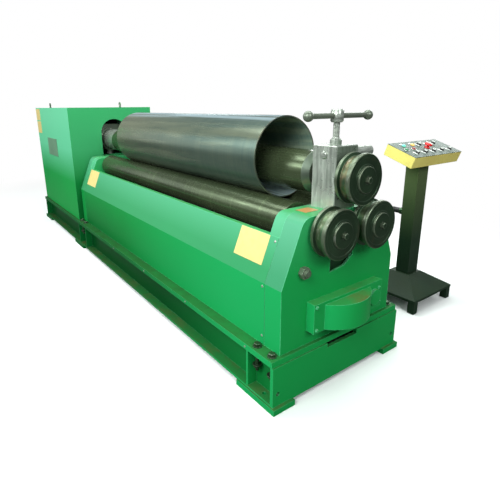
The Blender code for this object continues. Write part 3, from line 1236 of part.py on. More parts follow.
def build_lift(machine):
    drop_end_block(machine)
    drop_end_bush(machine)
    drive_end_block(machine)
    lift_screw("right_lift_screw", BLOCK_X, BLOCK_LOW, machine)
    lift_screw("left_lift_screw", DRIVE_FRAME_X, DRIVE_BLOCK_LOW, machine)
    worm_wheel("right_worm_wheel", BLOCK_X, machine)
    worm_wheel("left_worm_wheel", DRIVE_FRAME_X, machine)
    lift_shaft(machine)
    lock_pin(machine)
    clamp_shoe(machine)
    clamp_screw(machine)
    tee_bar(machine)


def build_drive(machine):
    drive_frame(machine)
    reducer(machine)
    motor("main_motor", REDUCER_LEFT - MOTOR_GAP, MOTOR_LENGTH, MOTOR_RADIUS, MID_Y, BASE_TOP + MOTOR_CENTRE,
          MOTOR_GAP - GAP, machine)
    motor("lift_motor", LIFT_MOTOR_RIGHT, LIFT_MOTOR_LENGTH, LIFT_MOTOR_RADIUS, WORM_Y, WORM_WHEEL_Z, 0, machine)


def build_stand(machine):
    console_base(machine)
    console_column(machine)
    console_box(machine)
    console_panel(machine)
    for (name, y), colour in zip(LAMP_PLACES.items(), ("lamp_green", "lamp_amber")):
        lamp(name, y, colour, machine)
    for (name, y), colour in zip(BUTTON_PLACES.items(), ("button_green", "button_red")):
        push_button(name, y, colour, machine)
    emergency_stop(machine)
    places = [(BACK_ROW, y) for y in BACK_KNOBS] + [(FRONT_ROW, y) for y in FRONT_KNOBS]
    for number, (x, y) in enumerate(places, start=1):
        selector(f"selector_{number}", x, y, machine)
    gland("machine_gland", "Y", (MACHINE_GLAND_X, MACHINE_GLAND_Z), across(FRAME_FRONT), 1, machine)
    gland("column_gland", "X", (STAND_Y, COLUMN_GLAND_Z), STAND_X - COLUMN_X / 2, -1, machine)
    control_conduit(machine)


def main():
    clear_scene()
    machine = joint_empty("machine", (-ORIGIN_X, -ORIGIN_Y, 0), None)
    base_frame(machine)
    right_end_frame(machine)
    left_end_frame(machine)
    cover("front_cover", lambda y: y, machine)
    cover("rear_cover", across, machine)
    tie_rod(machine)
    worm_guard(machine)
    cabinet_shell(machine)
    cabinet_rear_panel(machine)
    vent_plate(machine)
    for number, place in enumerate(eye_bolt_places(), start=1):
        eye_bolt(f"eye_bolt_{number}", place, machine)
    electric_door(machine)
    door_latch(machine)
    build_rolls(machine)
    build_lift(machine)
    build_drive(machine)
    build_stand(machine)


main()
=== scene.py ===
"""Plate rolling machine with a part-rolled shell and its control stand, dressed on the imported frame."""
import bisect
import itertools
import json
import math

import bmesh
import bpy
from mathutils import Matrix, Vector
from mathutils.geometry import interpolate_bezier

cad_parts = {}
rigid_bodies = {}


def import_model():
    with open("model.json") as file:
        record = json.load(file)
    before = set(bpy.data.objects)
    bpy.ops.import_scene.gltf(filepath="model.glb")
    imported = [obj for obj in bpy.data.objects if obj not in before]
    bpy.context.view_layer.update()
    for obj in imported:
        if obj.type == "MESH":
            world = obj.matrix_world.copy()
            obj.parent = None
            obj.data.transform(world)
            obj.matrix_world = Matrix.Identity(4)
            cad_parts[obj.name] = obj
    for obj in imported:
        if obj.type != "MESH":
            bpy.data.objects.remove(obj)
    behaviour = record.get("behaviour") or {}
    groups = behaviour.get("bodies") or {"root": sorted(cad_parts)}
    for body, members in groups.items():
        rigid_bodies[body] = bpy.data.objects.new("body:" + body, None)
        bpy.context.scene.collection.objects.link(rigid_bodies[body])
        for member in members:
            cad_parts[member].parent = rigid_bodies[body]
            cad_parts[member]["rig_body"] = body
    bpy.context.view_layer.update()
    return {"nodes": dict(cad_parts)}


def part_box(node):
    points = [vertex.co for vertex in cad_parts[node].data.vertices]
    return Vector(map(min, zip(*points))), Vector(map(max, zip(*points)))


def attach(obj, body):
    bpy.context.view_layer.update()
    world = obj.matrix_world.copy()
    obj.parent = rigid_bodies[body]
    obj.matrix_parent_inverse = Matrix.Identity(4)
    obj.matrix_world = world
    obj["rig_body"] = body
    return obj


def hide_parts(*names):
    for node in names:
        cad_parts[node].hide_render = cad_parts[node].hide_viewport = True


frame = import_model()

bl_info = {
    "name": "Plate rolling machine",
    "version": (1, 0, 0),
    "blender": (4, 5, 0),
    "location": "3D View > Sidebar > Plate roller",
    "description": "Builds the finished pieces of a three-roll plate rolling machine",
    "category": "Object",
}

BASE_LOW, BASE_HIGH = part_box("base_frame")

# Machine coordinates: X from the right end frame's outer plate, Y from the base's front edge,
# Z from the floor.
ZERO_X = BASE_HIGH.x - 0.020
ZERO_Y = BASE_LOW.y + 0.010

MIDDLE_Y = 0.488
FRONT_ROLL_Y = 0.3454
REAR_ROLL_Y = 0.6306
LOWER_ROLL_Z = 0.849
TOP_ROLL_Z = 1.091
SHELL_Z = 1.147
BASE_TOP = 0.272
COVER_FACE = 0.068
SLOPE_FOOT = 0.604
SLOPE = Vector((0.0, 0.117, 0.286))
BLOCK_X = -0.1195
STAND_X = -0.367
STAND_Y = 1.665
CONSOLE_TILT = math.radians(19.5)
CONSOLE_SHIFT = 0.022
CONSOLE_Z = 1.061
PANEL_TOP = 0.0793
PANEL_GAP = 0.0003
BAR_Z = 1.377
PIN_Z = 1.195
PIN_RADIUS = 0.0278

# The camera solved from the photograph's edges: azimuth, elevation and roll in degrees.
CAMERA_ANGLES = (54.0445, 15.3489, -0.4815)
CAMERA_PLACE = (1.23984, -1.10233, 1.424)
CAMERA = {"lens": 29.5517, "sensor_width": 36.0, "shift_x": 0.027168, "shift_y": -0.061965,
          "clip_end": 100.0}
LAMP_TARGET = Vector((-0.2, 0.0, 0.8))
LAMPS = (
    ("overhead", (0.2, -0.5, 5.0), 6.5, 1.6, 290.0),
    ("front", (2.6, -3.5, 2.8), 3.0, 1.6, 155.0),
    ("middle", (-2.3, -4.4, 3.4), 2.4, 1.6, 90.0),
    ("left", (-4.8, -4.6, 2.4), 3.6, 2.6, 35.0),
    ("right", (6.4, -0.9, 3.6), 2.6, 1.8, 120.0),
    ("rear", (-0.8, 5.0, 3.2), 5.5, 1.4, 140.0),
    ("window", (-6.0, 4.1, 2.6), 2.2, 0.6, 17.0),
)

FINE = 96
MEDIUM = 48
SMALL = 24
CREASE = math.radians(20)
KNOB_CREASE = math.radians(40)


def assign(item, **settings):
    """Gives an item its settings, and hands it back."""
    for key, value in settings.items():
        setattr(item, key, value)
    return item


def srgb(red, green, blue):
    """A colour given as it looks on a screen, from 0 to 255, as the shader's linear numbers."""
    def linear(value):
        value /= 255
        return value / 12.92 if value <= 0.04045 else ((value + 0.055) / 1.055) ** 2.4
    return linear(red), linear(green), linear(blue)


def at(x, y, z):
    """A point in the frame, from machine coordinates."""
    return Vector((ZERO_X + x, ZERO_Y + y, z))


# ---------------------------------------------------------------- settings

def colour_setting(name, description, red, green, blue):
    return bpy.props.FloatVectorProperty(name=name, description=description, subtype="COLOR", size=3,
                                         min=0.0, max=1.0, default=srgb(red, green, blue))


def length_setting(name, description, value):
    return bpy.props.FloatProperty(name=name, description=description, default=value, min=0.0,
                                   unit="LENGTH", precision=4)


class RollerColours(bpy.types.PropertyGroup):
    """Colours of the machine's finishes"""
    green: colour_setting("Green", "Enamel on the base, end frames, covers and cabinet", 24, 148, 68)
    # Painted sheen high on the front faces, and painted highlight along the edges of the green enamel.
    pale_green: colour_setting("Pale green", "The same enamel high on the machine", 108, 208, 160)
    dust: colour_setting("Dust", "Shop dust and oil on upward faces", 104, 102, 62)
    shell: colour_setting("Shell", "Mill scale on the rolled plate", 118, 122, 100)
    dark_shell: colour_setting("Dark shell", "Mill scale towards the drop end", 78, 98, 90)
    roll: colour_setting("Rolls", "Oiled working rolls", 76, 88, 62)
    milled: colour_setting("Milled steel", "Drop-end block, pin and clamp", 186, 192, 182)
    wheel: colour_setting("Wheels", "Oiled section wheels and bolts", 56, 78, 56)
    rust: colour_setting("Rust", "Brown tint in grooves and on bare steel", 112, 96, 72)
    stand: colour_setting("Stand", "Enamel on the control stand", 34, 54, 38)
    console: colour_setting("Console", "Enamel on the control box", 250, 228, 128)
    panel: colour_setting("Panel", "Plate that carries the controls", 84, 98, 92)
    plates: colour_setting("Blank plates", "Label plates without lettering", 230, 204, 128)


class RollerSizes(bpy.types.PropertyGroup):
    """Sizes of the details that finish the machine"""
    casting_ease: length_setting("Plate easing", "Rounding along the edges of thick plates", 0.0025)
    sheet_ease: length_setting("Sheet easing", "Rounding along the edges of bent sheets", 0.0009)
    steel_ease: length_setting("Steel easing", "Rounding along turned and milled edges", 0.0015)
    bolt_flats: length_setting("Bolt size", "Corner radius of the hexagon bolts", 0.019)
    screw_radius: length_setting("Screw size", "Radius of the cover screws", 0.0072)
    wheel_radius: length_setting("Wheel size", "Outer radius of the section wheels", 0.1232)
    groove_depth: length_setting("Groove depth", "Depth of the groove round each section wheel", 0.015)
    boss_radius: length_setting("Boss size", "Radius of the raised boss on each section wheel", 0.064)
    conduit_radius: length_setting("Conduit size", "Outer radius of the conduit to the stand", 0.021)
    plate_thickness: length_setting("Plate thickness", "Thickness of the blank label plates", 0.0012)


def sizes():
    return bpy.context.scene.roller_sizes


# ---------------------------------------------------------------- finishes

class Nodes:
    """Adds nodes to a tree and links them."""

    def __init__(self, tree):
        self.tree = tree

    def first(self, kind):
        return next(node for node in self.tree.nodes if node.type.startswith(kind))

    def feed(self, socket, value):
        if isinstance(value, bpy.types.NodeSocket):
            self.tree.links.new(value, socket)
        elif isinstance(value, tuple) and len(value) == 3 and socket.type == "RGBA":
            socket.default_value = (*value, 1.0)
        else:
            socket.default_value = value

    def add(self, kind, inputs=None, **settings):
        """A shader node with its settings, and with a value or a link for each input named."""
        node = assign(self.tree.nodes.new("ShaderNode" + kind), **settings)
        for socket, value in (inputs or {}).items():
            self.feed(node.inputs[socket], value)
        return node

    def seen_as(self, lit, seen):
        """One shader for the light that falls and another for the camera, as the output."""
        ray = self.add("LightPath").outputs["Is Camera Ray"]
        blend = self.add("MixShader", {0: ray, 1: lit, 2: seen})
        self.feed(self.first("OUTPUT").inputs["Surface"], blend.outputs[0])


class Finish(Nodes):
    """A material put together from nodes that read the piece's own coordinates."""

    def __init__(self, name, metallic=0.0, **constants):
        self.material = bpy.data.materials.new(name)
        self.material.use_nodes = True
        super().__init__(self.material.node_tree)
        self.shader = self.first("BSDF_PRINCIPLED")
        self.shader.inputs["Metallic"].default_value = metallic
        for socket, value in constants.items():
            self.shader.inputs[socket.replace("_", " ")].default_value = value
        self.place = self.add("TexCoord").outputs["Object"]
        self.normal = self.add("NewGeometry").outputs["Normal"]
        self.tone = None

    def moved(self, stretch=(1.0, 1.0, 1.0), centre=(0.0, 0.0, 0.0)):
        start = [-c * s for c, s in zip(centre, stretch)]
        node = self.add("Mapping", {"Vector": self.place, "Scale": stretch, "Location": start})
        return node.outputs["Vector"]

    def noise(self, scale, stretch=(1.0, 1.0, 1.0), detail=4.0, rough=0.55, twist=0.0):
        node = self.add("TexNoise", {"Vector": self.moved(stretch), "Scale": scale, "Detail": detail,
                                     "Roughness": rough, "Distortion": twist})
        return node.outputs["Fac"]

    def rings(self, centre):
        """Fine turning marks round an axis along X."""
        node = self.add("TexWave", {"Vector": self.moved(centre=centre), "Scale": 180.0,
                                    "Distortion": 0.5, "Detail": 2.0, "Detail Scale": 3.0},
                        wave_type="RINGS", rings_direction="X")
        return node.outputs["Fac"]

    def spread(self, value, low, high, to_low=0.0, to_high=1.0):
        node = self.add("MapRange", {"Value": value, "From Min": low, "From Max": high,
                                     "To Min": to_low, "To Max": to_high})
        return node.outputs["Result"]

    def maths(self, operation, first, second, clamp=True):
        node = self.add("Math", {0: first, 1: second}, operation=operation, use_clamp=clamp)
        return node.outputs["Value"]

    def times(self, first, *others):
        for other in others:
            first = self.maths("MULTIPLY", first, other)
        return first

    def mix(self, share, first, second):
        return self.add("Mix", {0: share, 6: first, 7: second}, data_type="RGBA").outputs[2]

    def mottled(self, value, low, high, colour, dark, light):
        """Two shades of one colour, by where the value lies from low to high."""
        return self.mix(self.spread(value, low, high), shade(colour, dark), shade(colour, light))

    def lay(self, colour, *shares):
        """Lays a colour over the tone so far, by the product of the shares."""
        self.tone = self.mix(self.times(*shares), self.tone, colour)

    def over(self, colour, value, low, high, share):
        """Lays a colour over the tone so far, where the value is high."""
        self.lay(colour, self.spread(value, low, high, 0.0, share))

    def part(self, vector, letter):
        return self.add("SeparateXYZ", {0: vector}).outputs[letter]

    def away(self, letter, middle):
        """The distance from a plane across one axis."""
        moved = self.moved(centre=(middle, middle, middle))
        return self.maths("ABSOLUTE", self.part(moved, letter), 0.0, clamp=False)

    def near(self, centre, inner, outer):
        """1 inside the inner distance from a point and 0 outside the outer one."""
        node = self.add("VectorMath", {0: self.moved(centre=centre)}, operation="LENGTH")
        return self.spread(node.outputs["Value"], outer, inner)

    def slant(self, letter, *steps):
        """One component of the surface's normal, taken through spread."""
        return self.spread(self.part(self.normal, letter), *steps)

    def upward(self):
        """1 where the surface faces up."""
        return self.slant("Z", 0.35, 0.95)

    def height(self, *steps):
        return self.spread(self.part(self.place, "Z"), *steps)

    def along(self, *steps):
        return self.spread(self.part(self.place, "X"), *steps)

    def edges(self, radius):
        """1 along convex and concave edges, 0 on flat faces."""
        soft = self.add("Bevel", {"Radius": radius}, samples=4)
        dot = self.add("VectorMath", {0: soft.outputs["Normal"], 1: self.normal}, operation="DOT_PRODUCT")
        return self.spread(dot.outputs["Value"], 0.995, 0.85)

    def finish(self, roughness, *bumps):
        """Links the tone and the roughness, and stacks the (height, strength, distance) bumps."""
        self.feed(self.shader.inputs["Base Color"], self.tone)
        self.feed(self.shader.inputs["Roughness"], roughness)
        below = {}
        for height, strength, distance in bumps:
            bump = self.add("Bump", {"Strength": strength, "Distance": distance, "Height": height, **below})
            below = {"Normal": bump.outputs["Normal"]}
        if below:
            self.feed(self.shader.inputs["Normal"], below["Normal"])
        return self.material


def shade(colour, factor=1.0):
    """A colour, or the colour setting of that name, made lighter or darker."""
    if isinstance(colour, str):
        colour = getattr(bpy.context.scene.roller_colours, colour)
    return tuple(min(channel * factor, 1.0) for channel in colour)


def green_enamel(name, tint=1.0, dust=0.30, grime=0.05, worn=0.9, foot=0.0, side=0.0, recessed=False,
                 stain=None):
    """Foot paints shade on the low front faces towards the floor, side paints shade on the low faces at the
    right.
    """
    work = Finish(name, IOR=1.15)
    green, brown = shade("green", tint), shade("dust")
    broad = work.noise(1.3, detail=3.0)
    mottle = work.noise(9.0, detail=6.0, rough=0.65)
    streaks = work.noise(5.0, stretch=(6.0, 6.0, 0.7), detail=5.0)
    front = work.slant("Y", -0.2, -0.9, 0.25, 1.0)
    rise = work.height(0.66, 1.00)
    right = work.along(0.3, 1.9)
    upright = work.slant("Z", 0.30, 0.05)
    tilt = work.times(work.slant("Z", 0.05, 0.35), work.along(2.148, 2.151, 0.45, 0.66))
    work.tone = work.mottled(broad, 0.3, 0.7, green, 0.95, 1.05)
    # Painted shade on the low front faces, deeper towards the left end.
    if foot:
        work.lay(shade(green, 0.25), work.height(0.62, 0.30), work.along(2.0, -2.0, 0.25, 1.0), front, foot)
    # Painted shade on the lower part of the faces that look to the right.
    if side:
        work.lay(shade(green, 0.25), work.height(1.90, 0.45), work.slant("X", 0.5, 0.9), side)
    # Painted light: brighter green on the upright front faces towards the right end.
    work.lay(srgb(30, 166, 90), right, front, upright)
    # Painted sheen: paler green high up, strongest on the front faces.
    work.lay(shade("pale_green"), rise, front)
    # Painted sheen on the upward-sloping front faces, stronger on the right end frame.
    work.lay(srgb(76, 141, 116), tilt, work.slant("Y", 0.05, -0.30))
    work.over(brown, streaks, 0.66, 0.82, grime)
    settled = work.times(work.upward(), work.spread(mottle, 0.38, 0.66, 0.35, 1.0))
    work.lay(brown, settled, dust)
    if recessed:
        # Painted shade in the recessed webs of the base's channels, darkest towards the left end.
        inside = work.spread(work.away("Y", ZERO_Y + MIDDLE_Y), MIDDLE_Y - 0.012, MIDDLE_Y - 0.030)
        below = work.height(BASE_TOP - 0.008, BASE_TOP - 0.022)
        sideways = work.spread(work.maths("ABSOLUTE", work.part(work.normal, "Y"), 0.0), 0.6, 0.9)
        dim = work.mix(work.along(1.0, 2.1), shade(green, 0.13), shade(green, 0.62))
        work.lay(dim, inside, below, sideways, 0.92)
        # Painted shade on the front and right-facing faces, deepening towards the left end.
        gloom = work.maths("MAXIMUM", front, work.slant("X", 0.3, 0.8))
        work.lay(shade(green, 0.22), work.along(2.08, 0.5, 0.0, 0.72), gloom)
        # Darker green on upward faces, more so towards the left end.
        top_darkening = work.along(-2.4, 2.1, 1.0, 0.60)
        work.lay(srgb(34, 64, 30), work.upward(), top_darkening, work.spread(mottle, 0.35, 0.6, 0.8, 1.0))
        work.lay(brown, work.upward(), work.height(0.12, 0.06), work.spread(mottle, 0.45, 0.65, 0.0, 0.25))
    if stain is not None:
        work.lay(srgb(112, 94, 52), work.near(stain, 0.02, 0.10),
                 work.spread(mottle, 0.35, 0.6, 0.3, 1.0), work.upward())
    # Painted highlight along the edges, broken up by mottling.
    work.lay(shade("pale_green", 1.3), work.edges(0.004), work.spread(mottle, 0.32, 0.50, 0.25, 1.0),
             worn)
    gloss = work.maths("ADD", work.spread(broad, 0.3, 0.7, 0.27, 0.33), work.times(settled, 0.3 * dust))
    waves = work.noise(2.2, stretch=(1.0, 1.0, 1.6), detail=2.0)
    return work.finish(gloss, (waves, 0.12, 0.004), (work.noise(210.0, detail=2.0), 0.05, 0.0005))


def mill_scale(name, metallic=0.75, tint=1.0):
    work = Finish(name, metallic=metallic)
    steel, dark = shade("shell", tint), shade("dark_shell", tint)
    broad = work.noise(2.0, stretch=(0.5, 2.0, 2.0), detail=5.0, twist=0.6)
    flakes = work.noise(26.0, detail=7.0, rough=0.7)
    rings = work.noise(5.0, stretch=(26.0, 0.5, 0.5), detail=4.0)
    streaks = work.noise(2.5, stretch=(0.3, 4.0, 4.0), detail=3.0)
    highlight_streaks = work.noise(3.0, stretch=(0.25, 9.0, 9.0), detail=5.0, rough=0.6, twist=0.2)
    along = work.along(-0.7, 1.3)
    work.tone = work.mix(work.maths("ADD", along, work.spread(broad, 0.3, 0.8, -0.2, 0.3)), steel, dark)
    work.over(shade(dark, 0.6), broad, 0.35, 0.7, 0.4)
    work.over(shade(steel, 1.6), rings, 0.42, 0.72, 0.16)
    work.over(shade(steel, 2.0), streaks, 0.50, 0.66, 0.4)
    work.over(shade("rust"), flakes, 0.58, 0.76, 0.3)
    # Painted highlight: pale bluish streaks along the crown of the shell.
    work.lay(srgb(184, 206, 214), work.slant("Z", 0.84, 0.94), work.spread(highlight_streaks, 0.42, 0.54), 0.85)
    work.lay(shade("rust", 1.4), work.edges(0.004), 0.9)
    gloss = work.spread(streaks, 0.35, 0.68, 0.34, 0.22)
    return work.finish(gloss, (flakes, 0.05, 0.0004), (rings, 0.06, 0.0004))


def rolled_steel(name):
    work = Finish(name, metallic=0.55)
    rings = work.noise(3.0, stretch=(60.0, 0.6, 0.6), detail=3.0)
    broad = work.noise(3.5, stretch=(0.6, 1.5, 1.5), detail=5.0)
    streaks = work.noise(7.0, stretch=(0.5, 10.0, 10.0), detail=6.0, rough=0.7)
    flecks = work.noise(55.0, detail=5.0, rough=0.7)
    work.tone = work.mottled(broad, 0.3, 0.72, "roll", 0.75, 1.15)
    work.over(shade("roll", 2.6), rings, 0.62, 0.70, 0.55)
    work.over(shade("roll", 1.7), streaks, 0.56, 0.74, 0.30)
    work.over(shade("rust"), flecks, 0.60, 0.74, 0.22)
    rubbed = work.maths("ADD", work.times(streaks, 0.6), work.times(flecks, 0.4))
    return work.finish(work.spread(rubbed, 0.36, 0.64, 0.32, 0.16),
                       (rings, 0.08, 0.0004), (flecks, 0.05, 0.0004))


def milled_steel(name, stretch, dark=0.45, tint=1.0, metallic=0.92, oily_top=0.0):
    work = Finish(name, metallic=metallic)
    steel = shade("milled", tint)
    cuts = work.noise(6.0, stretch=stretch, detail=4.0)
    oil = work.noise(11.0, detail=6.0, rough=0.65, twist=0.4)
    work.tone = work.mottled(cuts, 0.36, 0.64, steel, 0.60, 1.12)
    work.over(shade("wheel", 1.3), oil, 0.50, 0.70, dark)
    # Lighter smears lower down, darker upward faces, and right-facing sides in the wheel colour.
    if oily_top:
        rubbed = work.noise(9.0, stretch=(5.0, 5.0, 0.6), detail=4.0, rough=0.6, twist=0.5)
        low = work.maths("ADD", work.spread(rubbed, 0.50, 0.60), work.height(1.10, 0.98, -0.5, 0.6))
        work.lay(shade(steel, 1.6), low, 0.8)
        work.lay(shade(steel, 0.35), work.upward(), oily_top)
        work.lay(shade("wheel", 2.0), work.slant("X", 0.6, 0.9), oily_top)
    work.lay(shade(steel, 1.3), work.edges(0.003), 0.6)
    return work.finish(work.spread(oil, 0.35, 0.7, 0.24, 0.42), (cuts, 0.14, 0.0005))


def oiled_steel(name, centre=None, tint=1.0):
    """Given the centre of a turned piece, the steel has its turning marks."""
    work = Finish(name, metallic=0.85)
    oil = work.noise(14.0, detail=6.0, rough=0.68, twist=0.3)
    broad = work.noise(5.0, detail=3.0)
    work.tone = work.mottled(broad, 0.3, 0.7, shade("wheel", tint), 0.6, 1.2)
    work.over(shade("rust"), oil, 0.55, 0.75, 0.35)
    work.lay(shade("milled", 0.9), work.edges(0.004), work.spread(broad, 0.3, 0.6, 0.4, 1.0), 0.5)
    marks = [(work.rings(centre), 0.07, 0.0003)] if centre else []
    return work.finish(work.spread(oil, 0.3, 0.7, 0.30, 0.46), (oil, 0.10, 0.0006), *marks)


def plain_steel(name, colour, roughness=0.26, metallic=0.9):
    work = Finish(name, metallic=metallic)
    broad = work.noise(9.0, detail=2.0)
    work.tone = work.mottled(broad, 0.3, 0.7, colour, 0.82, 1.12)
    return work.finish(work.spread(broad, 0.3, 0.7, roughness, roughness + 0.08))


def nut_steel(name, colour, centre):
    """Dull steel with a ring scribed round the rod's end."""
    work = Finish(name, metallic=0.5)
    oil = work.noise(40.0, detail=4.0)
    work.tone = work.mottled(oil, 0.3, 0.7, colour, 0.8, 1.1)
    ring = work.maths("SUBTRACT", work.near(centre, 0.0155, 0.0165), work.near(centre, 0.0125, 0.0135))
    work.lay(shade(colour, 0.2), ring, 0.8)
    work.lay(shade(colour, 1.7), work.edges(0.003), 0.5)
    return work.finish(work.spread(oil, 0.3, 0.7, 0.36, 0.46), (oil, 0.05, 0.0003))


def groove_steel(name, colour, lightness=1.0, brown=0.8):
    work = Finish(name, metallic=0.75)
    oil = work.noise(22.0, detail=6.0, rough=0.7)
    rubbed = work.noise(16.0, stretch=(3.0, 1.0, 1.0), detail=4.0)
    work.tone = work.mottled(oil, 0.3, 0.7, shade(colour, lightness), 0.8, 1.5)
    work.over(shade("rust", 1.5), rubbed, 0.40, 0.62, brown)
    work.over(shade("milled"), rubbed, 0.60, 0.72, 0.5)
    return work.finish(work.spread(oil, 0.3, 0.7, 0.30, 0.46), (oil, 0.12, 0.0005))


def bronze(name):
    work = Finish(name, metallic=1.0)
    oil = work.noise(18.0, detail=5.0)
    work.tone = work.mix(work.spread(oil, 0.3, 0.7), srgb(122, 92, 44), srgb(184, 142, 74))
    return work.finish(work.spread(oil, 0.3, 0.7, 0.25, 0.45), (oil, 0.08, 0.0004))


def enamel(name, colour, roughness=0.42, dust=0.25, edge=1.5, faded=None):
    """Top colour is the colour that the enamel nears towards the top of a tall piece."""
    work = Finish(name, IOR=1.25)
    mottle = work.noise(8.0, detail=6.0, rough=0.65)
    broad = work.noise(2.2, detail=3.0)
    work.tone = work.mottled(broad, 0.3, 0.7, colour, 0.86, 1.12)
    work.over(shade(colour, 0.65), mottle, 0.52, 0.78, 0.22)
    if faded is not None:
        work.lay(faded, work.height(0.45, 1.02), 0.8)
    work.lay(shade("dust"), work.upward(), work.spread(mottle, 0.40, 0.66, 0.2, 1.0), dust)
    # Painted highlight along the edges, in a lighter shade of the enamel.
    work.lay(shade(colour, edge), work.edges(0.003), work.spread(mottle, 0.45, 0.6), 0.5)
    return work.finish(work.spread(mottle, 0.3, 0.75, roughness - 0.06, roughness + 0.10),
                       (work.noise(240.0, detail=2.0), 0.07, 0.0005),
                       (work.noise(4.0, detail=2.0), 0.15, 0.002))


def moulded(name, colour, lightness=1.0, roughness=0.38, **constants):
    work = Finish(name, **constants)
    scuffs = work.noise(60.0, detail=5.0, rough=0.7)
    work.tone = work.mottled(scuffs, 0.35, 0.7, shade(colour, lightness), 0.88, 1.08)
    return work.finish(work.spread(scuffs, 0.3, 0.7, roughness - 0.06, roughness + 0.08),
                       (work.noise(420.0, detail=2.0), 0.06, 0.0003))


def blank_plate(name, colour):
    work = Finish(name)
    scuffs = work.noise(24.0, detail=6.0, rough=0.7)
    work.tone = shade(colour)
    work.over(shade(colour, 0.72), scuffs, 0.45, 0.75, 0.5)
    return work.finish(work.spread(scuffs, 0.3, 0.7, 0.32, 0.5), (scuffs, 0.05, 0.0003))


LENS = dict(roughness=0.16, Coat_Weight=0.6, Emission_Strength=0.35)
FINISHES = {
    "green_enamel": (green_enamel, dict()),
    # Painted shade in the base's recesses, and on its front and right faces towards the left end.
    "base_enamel": (green_enamel, dict(dust=0.12, grime=0.10, worn=0.2, recessed=True)),
    # Painted shade low on the covers' front faces.
    "cover_enamel": (green_enamel, dict(worn=0.6, foot=0.85)),
    # Painted light: a lighter copy of the green for the cabinet, with painted shade low on its right side.
    "cabinet_enamel": (green_enamel, dict(tint=1.18, worn=0.35, side=0.85)),
    "guard_enamel": (green_enamel, dict(dust=0.25, worn=0.5, stain=at(0.085, 0.53, 0.50))),
    "painted_bolt": (green_enamel, dict(dust=0.85, grime=0.6)),
    "mill_scale": (mill_scale, dict(metallic=0.62)),
    # Painted light: a lighter, non-metallic copy of the mill scale for the shell's inside.
    "inner_scale": (mill_scale, dict(metallic=0.0, tint=2.2)),
    "rolled_steel": (rolled_steel, dict()),
    "milled_steel": (milled_steel, dict(stretch=(9.0, 9.0, 0.8), metallic=0.6, oily_top=0.55)),
    "turned_steel": (milled_steel, dict(stretch=(3.0, 3.0, 30.0), dark=0.05, tint=0.92, metallic=0.6)),
    "polished_steel": (milled_steel, dict(stretch=(40.0, 3.0, 3.0), dark=0.3)),
    "bar_steel": (plain_steel, dict(colour=srgb(112, 120, 106), roughness=0.30, metallic=0.45)),
    "collar_steel": (plain_steel, dict(colour=srgb(110, 122, 108), roughness=0.34, metallic=0.8)),
    "nut_steel": (nut_steel, dict(colour=srgb(112, 126, 106), centre=at(0.011, 0.20, 0.671))),
    "oiled_steel": (oiled_steel, dict()),
    "stud_steel": (oiled_steel, dict(tint=1.5)),
    "groove_steel": (groove_steel, dict(colour="wheel", lightness=1.3)),
    "dark_groove": (groove_steel, dict(colour="wheel", lightness=1.5, brown=0.25)),
    "rim_steel": (groove_steel, dict(colour=srgb(100, 112, 94), brown=0.1)),
    "bronze": (bronze, dict()),
    "motor_enamel": (enamel, dict(colour=srgb(110, 116, 116))),
    "cast_enamel": (enamel, dict(colour=srgb(90, 98, 100), roughness=0.5)),
    "stand_enamel": (enamel, dict(colour="stand", dust=0.06, edge=2.0, faded=srgb(96, 112, 70))),
    "console_enamel": (enamel, dict(colour="console", roughness=0.36, dust=0.1, edge=1.9)),
    "panel_enamel": (enamel, dict(colour="panel", roughness=0.45, dust=0.15)),
    "grille_enamel": (enamel, dict(colour=srgb(106, 142, 116), roughness=0.5)),
    "knob_plastic": (moulded, dict(colour=srgb(24, 24, 26))),
    "green_plastic": (moulded, dict(colour=srgb(24, 120, 70))),
    "red_plastic": (moulded, dict(colour=srgb(140, 26, 26))),
    "stop_plastic": (moulded, dict(colour=srgb(214, 30, 30), roughness=0.3)),
    "green_lens": (moulded, dict(colour=srgb(90, 214, 180), Emission_Color=(0.30, 0.80, 0.60, 1.0), **LENS)),
    "amber_lens": (moulded, dict(colour=srgb(250, 190, 90), Emission_Color=(0.95, 0.55, 0.20, 1.0), **LENS)),
    "conduit_rubber": (moulded, dict(colour=srgb(34, 34, 35), roughness=0.5)),
    # Dark green for the seam strips and for the plate of painted shade inside the right end frame.
    "dark_seam": (moulded, dict(colour="green", lightness=0.12, roughness=0.6)),
    "blank_plate": (blank_plate, dict(colour="plates")),
    "amber_plate": (blank_plate, dict(colour=srgb(178, 130, 76))),
    "white_plate": (blank_plate, dict(colour=srgb(232, 236, 230))),
}


def finish_named(name):
    found = bpy.data.materials.get(name)
    if found is None:
        make, settings = FINISHES[name]
        found = make(name, **settings)
    return found


# ---------------------------------------------------------------- shapes

AXES = {
    "X": (Vector((1, 0, 0)), Vector((0, 1, 0))),
    "Y": (Vector((0, 1, 0)), Vector((0, 0, 1))),
    "Z": (Vector((0, 0, 1)), Vector((1, 0, 0))),
}


def turn(work, profile, axis, centre, steps=FINE, ring=False, phase=0.0):
    """Spins (along, radius) points round an axis through the centre, along being measured from it."""
    along, out = AXES[axis]
    out = Matrix.Rotation(phase, 3, along) @ out
    verts = [work.verts.new(centre + along * place + out * max(radius, 0.0)) for place, radius in profile]
    pairs = list(zip(verts, verts[1:]))
    if ring:
        pairs.append((verts[-1], verts[0]))
    edges = [work.edges.new(pair) for pair in pairs]
    bmesh.ops.spin(work, geom=verts + edges, cent=centre, axis=along, angle=2 * math.pi, steps=steps,
                   use_merge=True, use_normal_flip=False, use_duplicate=False)


